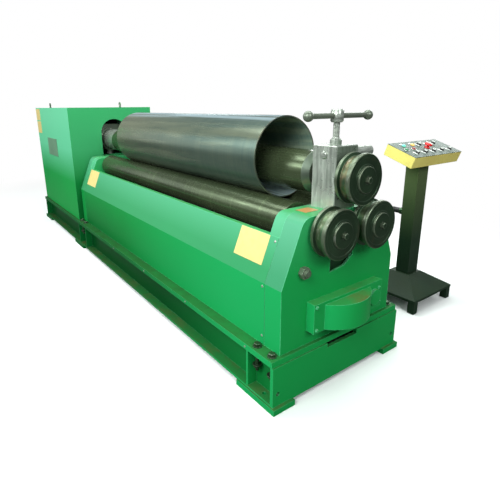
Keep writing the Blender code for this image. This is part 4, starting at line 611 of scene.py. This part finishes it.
def slab(work, low, high, ease=0.0):
    """A box between two corners with eased edges."""
    low, high = Vector(low), Vector(high)
    matrix = Matrix.Translation((low + high) / 2) @ Matrix.Diagonal((*(high - low), 1.0))
    verts = bmesh.ops.create_cube(work, size=1.0, matrix=matrix)["verts"]
    if ease:
        edges = list({edge for vert in verts for edge in vert.link_edges})
        bmesh.ops.bevel(work, geom=edges, offset=ease, offset_type="OFFSET", affect="EDGES",
                        segments=2, profile=0.5, material=-1, clamp_overlap=True)


def hexagon_bolt(work, axis, centre, foot, outward, radius=None):
    """A washer and a chamfered hexagon head standing on a face, foot being its place along the axis."""
    radius = radius or sizes().bolt_flats
    rise, shoulder, top = (foot + outward * radius * share for share in (0.22, 0.88, 1.02))
    turn(work, [(foot, 0), (foot, radius * 1.25), (rise, radius * 1.25), (rise, 0)], axis, centre, SMALL)
    turn(work, [(rise, 0), (rise, radius), (shoulder, radius), (top, radius * 0.82), (top, 0)], axis, centre,
         6, phase=0.3)


def pan_screw(work, axis, centre, foot, outward, radius):
    """A low domed head standing on a face, foot being its place along the axis."""
    rise = outward * radius * 0.45
    dome = [(foot + rise * math.sin(angle), radius * math.cos(angle))
            for angle in (k * math.pi / 8 for k in range(5))]
    turn(work, [(foot, 0)] + dome, axis, centre, SMALL)


def close(work):
    """Merges doubled points and turns the faces outwards."""
    bmesh.ops.remove_doubles(work, verts=work.verts, dist=1e-6)
    bmesh.ops.recalc_face_normals(work, faces=work.faces)


def linked(name, data):
    """An object in the scene, from its data or from the bmesh that it is to have."""
    if isinstance(data, bmesh.types.BMesh):
        work, data = data, bpy.data.meshes.new(name)
        work.to_mesh(data)
        work.free()
    item = bpy.data.objects.new(name, data)
    bpy.context.scene.collection.objects.link(item)
    return item


def put(name, work, body, slot, *finishes, ease=0.0, segments=2, nodes=(), crease=CREASE, closed=False):
    """Makes the object, gives it its finishes, and hangs it on its body."""
    if not closed:
        close(work)
    item = linked(name, work)
    mesh = item.data
    for finish in finishes:
        mesh.materials.append(finish_named(finish))
    mesh.polygons.foreach_set("use_smooth", [True] * len(mesh.polygons))
    if ease:
        assign(item.modifiers.new("Eased edges", "BEVEL"), width=ease, segments=segments,
               limit_method="ANGLE", angle_limit=crease, harden_normals=True)
    mesh.set_sharp_from_angle(angle=crease)
    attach(item, body)
    if nodes:
        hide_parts(*nodes)
    return item


def eased(node, finish, ease=0.001):
    """The node's own shape, its edges rounded by a length or by the size setting of that name."""
    source = frame["nodes"][node]
    slot = source.data.materials[0].name.split(".")[0]
    work = bmesh.new()
    work.from_mesh(source.data)
    bmesh.ops.remove_doubles(work, verts=work.verts, dist=2e-5)
    bmesh.ops.dissolve_limit(work, angle_limit=math.radians(0.6), verts=work.verts, edges=work.edges)
    ease = getattr(sizes(), ease) if isinstance(ease, str) else ease
    return put(node + "_eased", work, source["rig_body"], slot, finish, ease=ease, nodes=(node,), closed=True)


def turned(node, body, slot, finishes, profile, axis, centre, steps=FINE, pick=None, **settings):
    """The piece turned from a profile that stands for the node, pick choosing each face's finish."""
    work = bmesh.new()
    turn(work, profile, axis, centre, steps)
    close(work)
    if pick:
        for part in work.faces:
            part.material_index = pick(part)
    put(node + "_turned", work, body, slot, *finishes, nodes=(node,), **settings)


# ---------------------------------------------------------------- operators

class Step:
    """Finishes some of the machine's nodes in their own shapes, and builds pieces beside them."""
    nodes = ()

    def execute(self, context):
        for settings in self.nodes:
            eased(*settings)
        self.build()
        return {"FINISHED"}

    def build(self):
        pass


class StageOperator(Step, bpy.types.Operator):
    """Place the camera, the lights and the floor"""
    bl_idname = "roller.stage"
    bl_label = "Stage"

    def build(self):
        scene = bpy.context.scene
        camera = linked("camera", bpy.data.cameras.new("camera"))
        azimuth, elevation, roll = (math.radians(angle) for angle in CAMERA_ANGLES)
        camera.matrix_world = (Matrix.Translation(at(*CAMERA_PLACE)) @ Matrix.Rotation(azimuth, 4, "Z")
                               @ Matrix.Rotation(math.pi / 2 - elevation, 4, "X")
                               @ Matrix.Rotation(roll, 4, "Z"))
        assign(camera.data, **CAMERA).dof.use_dof = False
        scene.camera = camera
        scene.view_settings.view_transform = "Standard"
        self.floor()
        self.lamps()
        self.world(scene)

    def floor(self):
        """Pale for the camera with a painted shadow under the machine, white far away, and duller for the
        light that it throws back.
        """
        work = bmesh.new()
        bmesh.ops.create_grid(work, x_segments=1, y_segments=1, size=30.0)
        floor = linked("floor", work)
        floor.location.z = -0.0005
        work = Finish("floor_pale")
        # Painted shadow: the floor is near black within the machine's footprint.
        middle, reach = (BASE_LOW + BASE_HIGH) / 2, (BASE_HIGH - BASE_LOW) / 2
        under = work.times(work.spread(work.away("X", middle.x), reach.x - 0.03, reach.x - 0.12),
                           work.spread(work.away("Y", middle.y), reach.y - 0.03, reach.y - 0.12))
        work.tone = work.mix(under, (0.92, 0.92, 0.92), (0.02, 0.03, 0.02))
        work.finish(0.9)
        oval = work.add("VectorMath", {0: work.moved((0.42, 0.8, 1.0))}, operation="LENGTH")
        fade = work.add("MapRange", {"Value": oval.outputs["Value"], "From Min": 1.2, "From Max": 2.6},
                        interpolation_type="SMOOTHSTEP")
        pale = work.add("MixShader", {0: fade.outputs["Result"], 1: work.shader.outputs[0],
                                      2: work.add("Emission").outputs[0]})
        dull = work.add("BsdfDiffuse", {"Color": (0.13, 0.14, 0.13)})
        work.seen_as(dull.outputs[0], pale.outputs[0])
        floor.data.materials.append(work.material)

    def lamps(self):
        for name, place, width, depth, power in LAMPS:
            light = assign(bpy.data.lights.new(name, "AREA"), shape="RECTANGLE", size=width, size_y=depth,
                           energy=power, color=(0.93, 1.0, 0.97))
            aim = (LAMP_TARGET - Vector(place)).to_track_quat("-Z", "Y").to_euler()
            assign(linked(name, light), location=place, rotation_euler=aim, visible_camera=False)

    def world(self, scene):
        world = bpy.data.worlds.new("studio")
        scene.world = world
        world.use_nodes = True
        work = Nodes(world.node_tree)
        lit = work.first("BACKGROUND")
        work.feed(lit.inputs["Color"], (0.92, 0.96, 1.0))
        work.feed(lit.inputs["Strength"], 0.30)
        seen = work.add("Background", {"Color": (1.0, 1.0, 1.0), "Strength": 1.0})
        work.seen_as(lit.outputs[0], seen.outputs[0])


ROUTE = ((-1.060, 0.9539, 0.460), (-1.060, 1.0339, 0.459), (-1.050, 1.170, 0.430), (-1.015, 1.310, 0.400),
         (-0.950, 1.440, 0.405), (-0.855, 1.550, 0.450), (-0.750, 1.630, 0.525), (-0.660, 1.662, 0.600),
         (-0.5629, 1.665, 0.651), (-0.4629, 1.665, 0.655))


def smooth_route(points, step):
    """Evenly spaced points along a smooth curve through the given ones."""
    knots = [Vector(point) for point in points]
    knots = [2 * knots[0] - knots[1]] + knots + [2 * knots[-1] - knots[-2]]
    dense = []
    for before, here, there, after in zip(knots, knots[1:], knots[2:], knots[3:]):
        leaving, arriving = here + (there - before) / 6, there - (after - here) / 6
        dense += interpolate_bezier(here, leaving, arriving, there, 25)[:-1]
    dense.append(knots[-2])
    steps = [(second - first).length for first, second in zip(dense, dense[1:])]
    lengths = [0.0, *itertools.accumulate(steps)]
    count = round(lengths[-1] / step)
    spaced = []
    for k in range(count + 1):
        wanted = lengths[-1] * k / count
        i = min(bisect.bisect(lengths, wanted), len(steps)) - 1
        spaced.append(dense[i].lerp(dense[i + 1], (wanted - lengths[i]) / steps[i]))
    return spaced


class ConduitOperator(Step, bpy.types.Operator):
    """Run the conduit from the machine's rear cover to the control stand"""
    bl_idname = "roller.conduit"
    bl_label = "Conduit"

    def build(self):
        curve = assign(bpy.data.curves.new("conduit_run", "CURVE"), dimensions="3D", bevel_resolution=6,
                       bevel_depth=sizes().conduit_radius, use_fill_caps=True)
        points = smooth_route(ROUTE, 0.03)
        line = curve.splines.new("POLY")
        line.points.add(len(points) - 1)
        for item, point in zip(line.points, points):
            item.co = (*at(*point), 1.0)
        line.use_smooth = True
        curve.materials.append(finish_named("conduit_rubber"))
        conduit = linked("conduit_run", curve)
        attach(conduit, "machine")
        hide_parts("control_conduit")
        glands = [eased(node, "stud_steel", "steel_ease") for node in ("machine_gland", "column_gland")]


class BaseOperator(Step, bpy.types.Operator):
    """Finish the welded base and bolt it down"""
    bl_idname = "roller.base"
    bl_label = "Base"
    nodes = (("base_frame", "base_enamel", "casting_ease"),)

    def build(self):
        work, studs = bmesh.new(), bmesh.new()
        for y in (0.037, 2 * MIDDLE_Y - 0.037):
            for x in (-0.163, -0.052, -3.100, -2.990):
                centre = at(x, y, 0)
                hexagon_bolt(work, "Z", centre, BASE_TOP, 1)
                hexagon_bolt(studs, "Z", centre, 0.172, -1)
                turn(studs, [(0.241, 0), (0.241, 0.009), (0.136, 0.009), (0.134, 0.007), (0.134, 0)], "Z",
                     centre, SMALL)
        put("base_bolts", work, "machine", "green_paint", "stud_steel", ease=0.0006, segments=1)
        put("base_studs", studs, "machine", "dark_steel", "stud_steel", ease=0.0006, segments=1)
        work = bmesh.new()
        for x in (-0.2176, -0.8299, -1.4536, -2.0841):
            for foot, outward in ((0.0, -1), (2 * MIDDLE_Y, 1)):
                pan_screw(work, "Y", at(x, 0, 0.256), foot, outward, 0.006)
        put("rail_screws", work, "machine", "bright_steel", "turned_steel")


class EndFrameOperator(Step, bpy.types.Operator):
    """Finish the right and left end frames"""
    bl_idname = "roller.end_frames"
    bl_label = "End frames"
    nodes = (("right_end_frame", "green_enamel", "casting_ease"),
             ("left_end_frame", "green_enamel", "casting_ease"))

    def build(self):
        # A dark plate just inside the right end frame's outer plate, behind its opening: painted shade inside
        # the machine.
        work = bmesh.new()
        slab(work, at(-0.066, MIDDLE_Y - 0.103, 0.612), at(-0.0605, MIDDLE_Y + 0.077, 0.748), ease=0.001)
        put("sump_tray", work, "machine", "green_paint", "dark_seam")


class CoverOperator(Step, bpy.types.Operator):
    """Finish the bent covers and their screws"""
    bl_idname = "roller.covers"
    bl_label = "Covers"
    nodes = (("front_cover", "cover_enamel", "sheet_ease"), ("rear_cover", "cover_enamel", "sheet_ease"))

    def build(self):
        self.screws()
        self.seams()

    def screws(self):
        work = bmesh.new()
        x, radius = -0.166, sizes().screw_radius
        for z in (0.319, 0.585):
            for foot, outward in ((COVER_FACE, -1), (2 * MIDDLE_Y - COVER_FACE, 1)):
                pan_screw(work, "Y", at(x, 0, z), foot, outward, radius)
        slope = math.atan2(SLOPE.y, SLOPE.z)
        for side in (-1, 1):
            older = set(work.verts)
            pan_screw(work, "Y", Vector((0, 0, 0)), 0.0, side, radius)
            place = at(x, MIDDLE_Y + side * (MIDDLE_Y - 0.1467), 0.796)
            tilted = Matrix.Translation(place) @ Matrix.Rotation(side * slope, 4, "X")
            bmesh.ops.transform(work, matrix=tilted,
                                verts=[vert for vert in work.verts if vert not in older])
        put("cover_screws", work, "machine", "bright_steel", "turned_steel")

    def seams(self):
        """Sealed joints between the covers and the end frames, their dark strips partly sealant and partly
        painted shade of the gap.
        """
        work = bmesh.new()
        half_width, proud = 0.0009, 0.0002
        face, top = COVER_FACE - proud, 0.745 * SLOPE
        profile = ((face, 0.288), (face, SLOPE_FOOT), (face + top.y, SLOPE_FOOT + top.z))
        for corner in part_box("front_cover"):
            x = corner.x - ZERO_X
            for side in (1, -1):
                rows = []
                for y, z in profile:
                    y = MIDDLE_Y + side * (y - MIDDLE_Y)
                    pair = [work.verts.new(at(x + offset, y, z)) for offset in (-half_width, half_width)]
                    rows.append(pair[::side])
                for below, above in zip(rows, rows[1:]):
                    work.faces.new((*below, *above[::-1]))
        put("cover_seams", work, "machine", "green_paint", "dark_seam", closed=True)


class CabinetOperator(Step, bpy.types.Operator):
    """Finish the drive cabinet, its panels, door and lifting eyes"""
    bl_idname = "roller.cabinet"
    bl_label = "Cabinet"
    nodes = (("cabinet_shell", "cabinet_enamel", "sheet_ease"),
             ("cabinet_rear_panel", "cabinet_enamel", "sheet_ease"),
             ("electric_door", "cabinet_enamel", "sheet_ease"), ("vent_plate", "grille_enamel", 0.0008),
             ("door_latch", "knob_plastic"), ("eye_bolt_1", "stud_steel", 0.0),
             ("eye_bolt_2", "stud_steel", 0.0))

    def build(self):
        self.rear()
        self.door()

    def rear(self):
        """Screws round the rear panel, and louvres in it."""
        low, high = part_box("cabinet_rear_panel")
        inset, width = 0.025, high.x - low.x
        across, up = (width - 2 * inset) / 4, (high.z - low.z - 2 * inset) / 3
        work = bmesh.new()
        for i in range(5):
            for k in range(4):
                if i in (0, 4) or k in (0, 3):
                    centre = Vector((low.x + inset + across * i, ZERO_Y, low.z + inset + up * k))
                    pan_screw(work, "Y", centre, high.y - ZERO_Y, 1, sizes().screw_radius)
        put("rear_panel_screws", work, "machine", "bright_steel", "turned_steel")
        work = bmesh.new()
        for share in (0.25, 0.75):
            start = Vector((low.x + share * width - 0.15, high.y, high.z - 0.16))
            self.louvres(work, 9, start, Vector((0.30, 0, 0)), Vector((0, 0.007, 0)))
        put("rear_louvres", work, "machine", "green_paint", "green_enamel", ease=0.0006)

    def door(self):
        """Louvres and hinges on the electric door."""
        low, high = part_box("electric_door")
        work = bmesh.new()
        start = Vector((low.x, (low.y + high.y) / 2 + 0.13, high.z - 0.12))
        self.louvres(work, 8, start, Vector((0, -0.26, 0)), Vector((-0.006, 0, 0)))
        for z in (low.z + 0.10, high.z - 0.17):
            turn(work, [(z, 0), (z, 0.006), (z + 0.07, 0.006), (z + 0.07, 0)], "Z",
                 Vector((low.x + 0.003, high.y, 0.0)), SMALL)
        put("door_louvres", work, "electric_door", "green_paint", "green_enamel", ease=0.0006)

    def louvres(self, work, count, start, along, out):
        """A column of pressed slot covers, open at their lower edges."""
        pitch, tall = 0.028, 0.018
        for k in range(count):
            ends = []
            for end in (0, 1):
                place = start + along * end - Vector((0, 0, pitch * k))
                ends.append([work.verts.new(place + out * depth + Vector((0, 0, rise)))
                             for depth, rise in ((-0.1, 0), (1, 0), (0.6, tall / 2), (-0.1, tall))])
                work.faces.new(ends[end])
            for i in range(4):
                work.faces.new((ends[0][i - 1], ends[0][i], ends[1][i], ends[1][i - 1]))


# The right end of each roll's axle, inside its wheel, as (along, radius).
AXLE_END = [(-0.0153, 0.035), (0.0737, 0.035), (0.0737, 0)]


class LowerRollOperator(Step, bpy.types.Operator):
    """Turn the two lower rolls"""
    bl_idname = "roller.lower_rolls"
    bl_label = "Lower rolls"

    def build(self):
        left, right, journal, radius = -2.932, -0.235, 0.055, 0.101
        profile = [(-3.515, 0), (-3.515, 0.045), (-3.430, 0.045), (-3.430, journal), (left, journal),
                   (left, radius), (right, radius), (right, journal), (-0.0153, journal)] + AXLE_END
        for name, y in (("front_roll", FRONT_ROLL_Y), ("rear_roll", REAR_ROLL_Y)):
            turned(name, name, "roll_steel", ["rolled_steel"], profile, "X",
                   at(0, y, LOWER_ROLL_Z), ease=0.002)


class TopRollOperator(Step, bpy.types.Operator):
    """Turn the top roll"""
    bl_idname = "roller.top_roll"
    bl_label = "Top roll"

    def build(self):
        left, collar = -2.967, 0.105
        profile = [(-3.460, 0), (-3.460, 0.060), (-3.240, 0.060), (-3.240, collar), (left, collar),
                   (left, 0.111), (-0.241, 0.111), (-0.2113, 0.081), (-0.211, 0.050),
                   (-0.0153, 0.050)] + AXLE_END

        def finish_at(part):
            along = part.calc_center_median().x - ZERO_X
            return 2 if along < left else 1 if along > -0.243 else 0

        turned("top_roll", "top_roll", "roll_steel", ["rolled_steel", "collar_steel", "turned_steel"],
               profile, "X", at(0, MIDDLE_Y, TOP_ROLL_Z), pick=finish_at, ease=0.0015)


class WheelOperator(Step, bpy.types.Operator):
    """Turn the three grooved section wheels"""
    bl_idname = "roller.wheels"
    bl_label = "Section wheels"

    def build(self):
        self.wheel("front_wheel", "front_roll", FRONT_ROLL_Y, LOWER_ROLL_Z, "dark_groove")
        self.wheel("rear_wheel", "rear_roll", REAR_ROLL_Y, LOWER_ROLL_Z, "dark_groove")
        self.wheel("top_wheel", "top_roll", MIDDLE_Y, TOP_ROLL_Z, "groove_steel")

    def wheel(self, name, body, y, z, groove_finish):
        radius = sizes().wheel_radius
        groove = radius - sizes().groove_depth
        face, back, boss, tip = 0.074, -0.015, 0.084, 0.100
        groove_left, groove_right = 0.009, 0.047
        hub, bolt = sizes().boss_radius, 0.0165
        work, centre = bmesh.new(), at(0, y, z)
        profile = [(face - 0.004, 0), (face - 0.004, 0.0353), (back, 0.0353), (back, radius - 0.003),
                   (back + 0.003, radius), (0.003, radius), (groove_left, groove), (groove_right, groove),
                   (0.053, radius), (face - 0.004, radius), (face, radius - 0.004), (face, 0.104),
                   (face - 0.0015, 0.102), (face - 0.0015, hub + 0.010), (face, hub + 0.008), (face, hub),
                   (boss - 0.003, hub), (boss, hub - 0.003), (boss, 0.020), (boss - 0.002, 0.019),
                   (boss - 0.002, 0)]
        turn(work, profile, "X", centre)
        turn(work, [(boss - 0.003, 0), (boss - 0.003, bolt), (tip - 0.002, bolt), (tip, 0.0135), (tip, 0)],
             "X", centre, 6, phase=0.4)
        close(work)
        for part in work.faces:
            offset = part.calc_center_median() - centre
            out, sideways = math.hypot(offset.y, offset.z), abs(part.normal.x)
            if groove_left < offset.x < groove_right and sideways < 0.3 and out > hub:
                part.material_index = 1
            elif sideways < 0.9 and (out > 0.110 or abs(out - hub) < 0.003 or out < 0.018):
                part.material_index = 2
        finish = oiled_steel(name + "_steel", centre=tuple(centre), tint=1.2).name
        put(name + "_turned", work, body, "dark_steel", finish, groove_finish, "rim_steel", ease=0.0015,
            nodes=(name,))


class ShellOperator(Step, bpy.types.Operator):
    """Roll the plate into its open shell"""
    bl_idname = "roller.shell"
    bl_label = "Rolled shell"

    def build(self):
        work = bmesh.new()
        left, right, inner, outer = -2.489, -0.473, 0.221, 0.229
        middle = at(0, MIDDLE_Y, SHELL_Z)
        turn(work, [(left, inner), (left, outer), (right, outer), (right, inner)], "X", middle, steps=128,
             ring=True)
        close(work)
        for part in work.faces:
            spoke = part.calc_center_median() - middle
            part.material_index = 1 if math.hypot(spoke.y, spoke.z) < inner + 0.0015 else 0
        put("shell_rolled", work, "rolled_shell", "shell_steel", "mill_scale", "inner_scale", ease=0.0012,
            nodes=("rolled_shell",))


class DropEndOperator(Step, bpy.types.Operator):
    """Finish the drop-end block, its bush and the cross pin"""
    bl_idname = "roller.drop_end"
    bl_label = "Drop end"
    nodes = (("drop_end_block", "milled_steel", "steel_ease"), ("drop_end_bush", "bronze"))

    def build(self):
        half_block = 0.0785
        front, rear = MIDDLE_Y - half_block, MIDDLE_Y + half_block
        tip = rear + 0.198
        profile = [(front - 0.010, 0), (front - 0.010, 0.010), (front - 0.0085, 0.0155),
                   (front - 0.0055, 0.0185), (front - 0.003, 0.019), (front + 0.025, 0.019),
                   (front + 0.025, PIN_RADIUS), (tip - 0.009, PIN_RADIUS), (tip, 0.0185), (tip, 0)]
        turned("lock_pin", "lock_pin", "bright_steel", ["turned_steel"], profile, "Y",
               at(BLOCK_X, 0, PIN_Z), MEDIUM, ease=0.0008)


class ClampOperator(Step, bpy.types.Operator):
    """Turn the clamp screw, its shoe and the tee bar"""
    bl_idname = "roller.clamp"
    bl_label = "Clamp"

    def build(self):
        low = PIN_Z + PIN_RADIUS + 0.004 + 0.0006
        thread, pitch, first = 0.017, 0.005, 1.2745
        profile = [(low, 0), (low, thread)]
        for k in range(14):
            start = first + k * pitch
            profile += [(start, thread), (start + pitch * 0.5, 0.0150)]
        profile += [(1.346, thread), (1.346, 0.0255), (1.353, 0.0315), (1.401, 0.0315), (1.408, 0.0255),
                    (1.408, 0)]
        turned("clamp_screw", "clamp_screw", "bright_steel", ["turned_steel"], profile, "Z",
               at(BLOCK_X, MIDDLE_Y, 0), MEDIUM, ease=0.0008, crease=math.radians(50))
        eased("clamp_shoe", "turned_steel", 0.0008)
        middle = MIDDLE_Y + 0.020
        ball, bar = 0.025, 0.013
        neck = math.asin(bar / ball)
        left = []
        for k in range(13):
            angle = math.pi - (math.pi - neck) * k / 12
            left.append((middle - 0.216 + ball * math.cos(angle), ball * math.sin(angle)))
        left[0] = (left[0][0], 0.0)
        profile = left + [(2 * middle - along, radius) for along, radius in reversed(left)]
        turned("tee_bar", "tee_bar", "bright_steel", ["bar_steel"], profile, "Y",
               at(BLOCK_X, 0, BAR_Z), MEDIUM, crease=math.radians(35))


class GuardOperator(Step, bpy.types.Operator):
    """Finish the guard over the lift gear and its bolts"""
    bl_idname = "roller.guard"
    bl_label = "Worm guard"
    nodes = (("worm_guard", "guard_enamel", 0.0018),)

    def build(self):
        work = bmesh.new()
        for y, z in ((0.255, 0.488), (0.257, 0.366), (0.742, 0.462), (0.752, 0.378)):
            hexagon_bolt(work, "X", at(0, y, z), 0.022, 1, radius=0.0085)
        put("guard_bolts", work, "machine", "green_paint", "painted_bolt", ease=0.0005, segments=1)


class TieRodOperator(Step, bpy.types.Operator):
    """Finish the tie rod and its nuts"""
    bl_idname = "roller.tie_rod"
    bl_label = "Tie rod"
    nodes = (("tie_rod", "nut_steel", 0.0018),)


class DriveOperator(Step, bpy.types.Operator):
    """Finish the drive frame, gears, reducer and motors in the cabinet"""
    bl_idname = "roller.drive"
    bl_label = "Drive"
    nodes = (("drive_frame", "green_enamel"), ("drive_end_block", "collar_steel"),
             ("reducer", "cast_enamel"), ("front_roll_gear", "oiled_steel"),
             ("rear_roll_gear", "oiled_steel"), ("drive_pinion", "oiled_steel"),
             ("main_motor", "motor_enamel"), ("lift_motor", "motor_enamel"))

    def build(self):
        work = bmesh.new()
        flange, circle = -3.270, 0.100
        for k in range(6):
            angle = math.radians(30 + 60 * k)
            y, z = MIDDLE_Y + circle * math.cos(angle), TOP_ROLL_Z + circle * math.sin(angle)
            hexagon_bolt(work, "X", at(0, y, z), flange, 1, radius=0.012)
        put("flange_bolts", work, "roll_lift", "dark_steel", "polished_steel", ease=0.0005, segments=1)


class LiftOperator(Step, bpy.types.Operator):
    """Finish the lift screws, worm wheels and shaft"""
    bl_idname = "roller.lift"
    bl_label = "Lift gear"
    nodes = (("right_lift_screw", "turned_steel"), ("left_lift_screw", "turned_steel"),
             ("right_worm_wheel", "bronze", 0.0008), ("left_worm_wheel", "bronze", 0.0008),
             ("lift_shaft", "oiled_steel", 0.0))


class StandOperator(Step, bpy.types.Operator):
    """Finish the control stand's base and column"""
    bl_idname = "roller.stand"
    bl_label = "Stand"
    nodes = (("console_base", "stand_enamel", "steel_ease"), ("console_column", "stand_enamel", "steel_ease"))


# Places on the panel: down the slope and along the box.
UPPER_ROW = -0.055
LOWER_ROW = 0.055
BUTTON_ROW = 0.002
SELECTORS = ((UPPER_ROW, -0.005), (UPPER_ROW, 0.095), (UPPER_ROW, 0.180), (LOWER_ROW, -0.190),
             (LOWER_ROW, -0.095), (LOWER_ROW, 0.010), (LOWER_ROW, 0.115), (LOWER_ROW, 0.220))
LAMP_PLACES = (-0.190, -0.085)
STOP_PLACE = 0.010

# Shapes turned on the panel, as (height, radius).
LAMP_SHAPE = [(0, 0), (0, 0.015), (0.004, 0.015)] + [
    (0.004 + 0.008 * math.sin(angle), 0.0125 * math.cos(angle))
    for angle in (math.radians(15 + 12.5 * k) for k in range(7))]
BUTTON_SHAPE = [(-0.012, 0), (-0.012, 0.0135), (0.008, 0.0135), (0.0095, 0.0125), (0.010, 0.0112),
                (0.0095, 0.009), (0.009, 0)]
BUTTON_RING = [(0, 0.0140), (0, 0.0190), (0.003, 0.0180), (0.003, 0.0140)]
STOP_SHAPE = [(-0.012, 0), (-0.012, 0.011), (0.0195, 0.011), (0.0195, 0.0235), (0.0220, 0.0262),
              (0.0260, 0.0265), (0.0300, 0.0245), (0.0335, 0.0195), (0.0355, 0.0120), (0.0360, 0)]
STOP_RING = [(0, 0.0115), (0, 0.0200), (0.011, 0.0170), (0.011, 0.0115)]


class ConsoleOperator(Step, bpy.types.Operator):
    """Finish the control box with its panel, lamps, buttons and selectors"""
    bl_idname = "roller.console"
    bl_label = "Console"
    nodes = (("console_box", "console_enamel", 0.0012), ("console_panel", "panel_enamel", 0.0008))

    def build(self):
        self.marks()
        for y, colour in zip(LAMP_PLACES, ("green", "amber")):
            self.knob(colour + "_lamp", UPPER_ROW, y, LAMP_SHAPE, "machine", "lamp_" + colour,
                      colour + "_lens", foot=PANEL_TOP + PANEL_GAP, ease=0.0006)
        for name, y, colour in (("start_button", -0.240, "green"), ("stop_button", -0.155, "red")):
            self.knob(name, BUTTON_ROW, y, BUTTON_SHAPE, name, "button_" + colour, colour + "_plastic")
            self.ring(name, y, BUTTON_RING, "bright_steel", "turned_steel")
        self.knob("emergency_stop", BUTTON_ROW, STOP_PLACE, STOP_SHAPE, "emergency_stop", "stop_red",
                  "stop_plastic")
        self.ring("emergency_stop", STOP_PLACE, STOP_RING, "stop_red", "stop_plastic")
        for number, (x, y) in enumerate(SELECTORS, start=1):
            self.selector(f"selector_{number}", x, y)

    def place(self, name, work, *labels, **settings):
        """Puts a piece whose points are down the slope, along the box and out of the panel."""
        close(work)
        matrix = (Matrix.Translation(at(STAND_X + CONSOLE_SHIFT, STAND_Y, CONSOLE_Z))
                  @ Matrix.Rotation(CONSOLE_TILT, 4, "Y"))
        bmesh.ops.transform(work, matrix=matrix, verts=work.verts)
        put(name, work, *labels, closed=True, **settings)

    def spun(self, x, y, foot, shape, ring=False):
        work = bmesh.new()
        turn(work, [(foot + a, r) for a, r in shape], "Z", Vector((x, y, 0)), SMALL, ring=ring)
        return work

    def knob(self, name, x, y, shape, *labels, foot=PANEL_TOP, ease=0.0):
        self.place(name + "_turned", self.spun(x, y, foot, shape), *labels, ease=ease, nodes=(name,),
                   crease=KNOB_CREASE)

    def ring(self, name, y, shape, *labels):
        work = self.spun(BUTTON_ROW, y, PANEL_TOP, shape, ring=True)
        self.place(name + "_ring", work, "machine", *labels, ease=0.0004)

    def selector(self, name, x, y):
        top = PANEL_TOP + PANEL_GAP
        work = self.spun(x, y, top, [(0, 0), (0, 0.015), (0.004, 0.0145), (0.0095, 0.0130), (0.0100, 0)])
        slab(work, (x - 0.0125, y - 0.0035, top + 0.005), (x + 0.0125, y + 0.0035, top + 0.0200), ease=0.0012)
        knob = len(work.faces)
        slab(work, (x - 0.0120, y - 0.0010, top + 0.0195), (x + 0.0010, y + 0.0010, top + 0.0205))
        work.faces.ensure_lookup_table()
        for part in work.faces[knob:]:
            part.material_index = 1
        self.place(name + "_turned", work, name, "knob_black", "knob_plastic", "white_plate", ease=0.0003,
                   nodes=(name,))

    def marks(self):
        """Blank legend plates beside the selectors and above the lamps."""
        work = bmesh.new()
        low, high = PANEL_TOP - 0.0002, PANEL_TOP + 0.0008
        for x, y in SELECTORS:
            slab(work, (x - 0.020, y - 0.033, low), (x + 0.020, y - 0.017, high))
        for y in LAMP_PLACES:
            slab(work, (-0.0875, y - 0.014, low), (-0.0775, y + 0.014, high))
        self.place("legend_plates", work, "machine", "panel_grey", "white_plate", ease=0.0003)


class PlatesOperator(Step, bpy.types.Operator):
    """Fix the blank label plates"""
    bl_idname = "roller.plates"
    bl_label = "Blank plates"

    def build(self):
        thick, ease = sizes().plate_thickness, 0.0004
        work = bmesh.new()
        front = 0.024
        for low, high in ((1.275, 1.412), (1.120, 1.262)):
            slab(work, at(-4.655, front - thick, low), at(-4.450, front, high), ease)
        put("cabinet_label_plates", work, "machine", "panel_grey", "blank_plate")
        work = bmesh.new()
        slab(work, at(-0.168, 0.276, 0.932), at(-0.098, 0.364, 0.932 + thick), ease)
        put("frame_label_plate", work, "machine", "panel_grey", "amber_plate")
        work = bmesh.new()
        for left, right in ((-0.4396, -0.209), (-2.996, -2.747)):
            slab(work, (left, 0.0745, 0.0), (right, 0.2285, thick), ease)
        up = SLOPE.normalized()
        out = Vector((0.0, -up.z, up.y))
        matrix = Matrix(((1, 0, 0), up, out)).transposed().to_4x4()
        matrix.translation = at(0.0, COVER_FACE, SLOPE_FOOT)
        bmesh.ops.transform(work, matrix=matrix, verts=work.verts)
        put("slope_label_plates", work, "machine", "panel_grey", "blank_plate")


class RollerPanel(bpy.types.Panel):
    """Lists the steps that finish the machine"""
    bl_idname = "VIEW3D_PT_plate_roller"
    bl_label = "Plate roller"
    bl_space_type = "VIEW_3D"
    bl_region_type = "UI"
    bl_category = "Plate roller"

    def draw(self, context):
        for operator in OPERATORS:
            self.layout.operator(operator.bl_idname)
        for group in (context.scene.roller_colours, context.scene.roller_sizes):
            for name in group.bl_rna.properties.keys():
                if name not in ("rna_type", "name"):
                    self.layout.prop(group, name)


OPERATORS = (StageOperator, ConduitOperator, BaseOperator, EndFrameOperator, CoverOperator, CabinetOperator,
             LowerRollOperator, TopRollOperator, WheelOperator, ShellOperator, DropEndOperator, ClampOperator,
             GuardOperator, TieRodOperator, DriveOperator, LiftOperator, StandOperator, ConsoleOperator,
             PlatesOperator)
CLASSES = (RollerColours, RollerSizes, *OPERATORS, RollerPanel)


def register():
    for item in CLASSES:
        bpy.utils.register_class(item)
    bpy.types.Scene.roller_colours = bpy.props.PointerProperty(type=RollerColours)
    bpy.types.Scene.roller_sizes = bpy.props.PointerProperty(type=RollerSizes)


def unregister():
    del bpy.types.Scene.roller_sizes
    del bpy.types.Scene.roller_colours
    for item in reversed(CLASSES):
        bpy.utils.unregister_class(item)


def main():
    register()
    for operator in OPERATORS:
        group, name = operator.bl_idname.split(".")
        getattr(getattr(bpy.ops, group), name)()


if __name__ == "__main__":
    main()
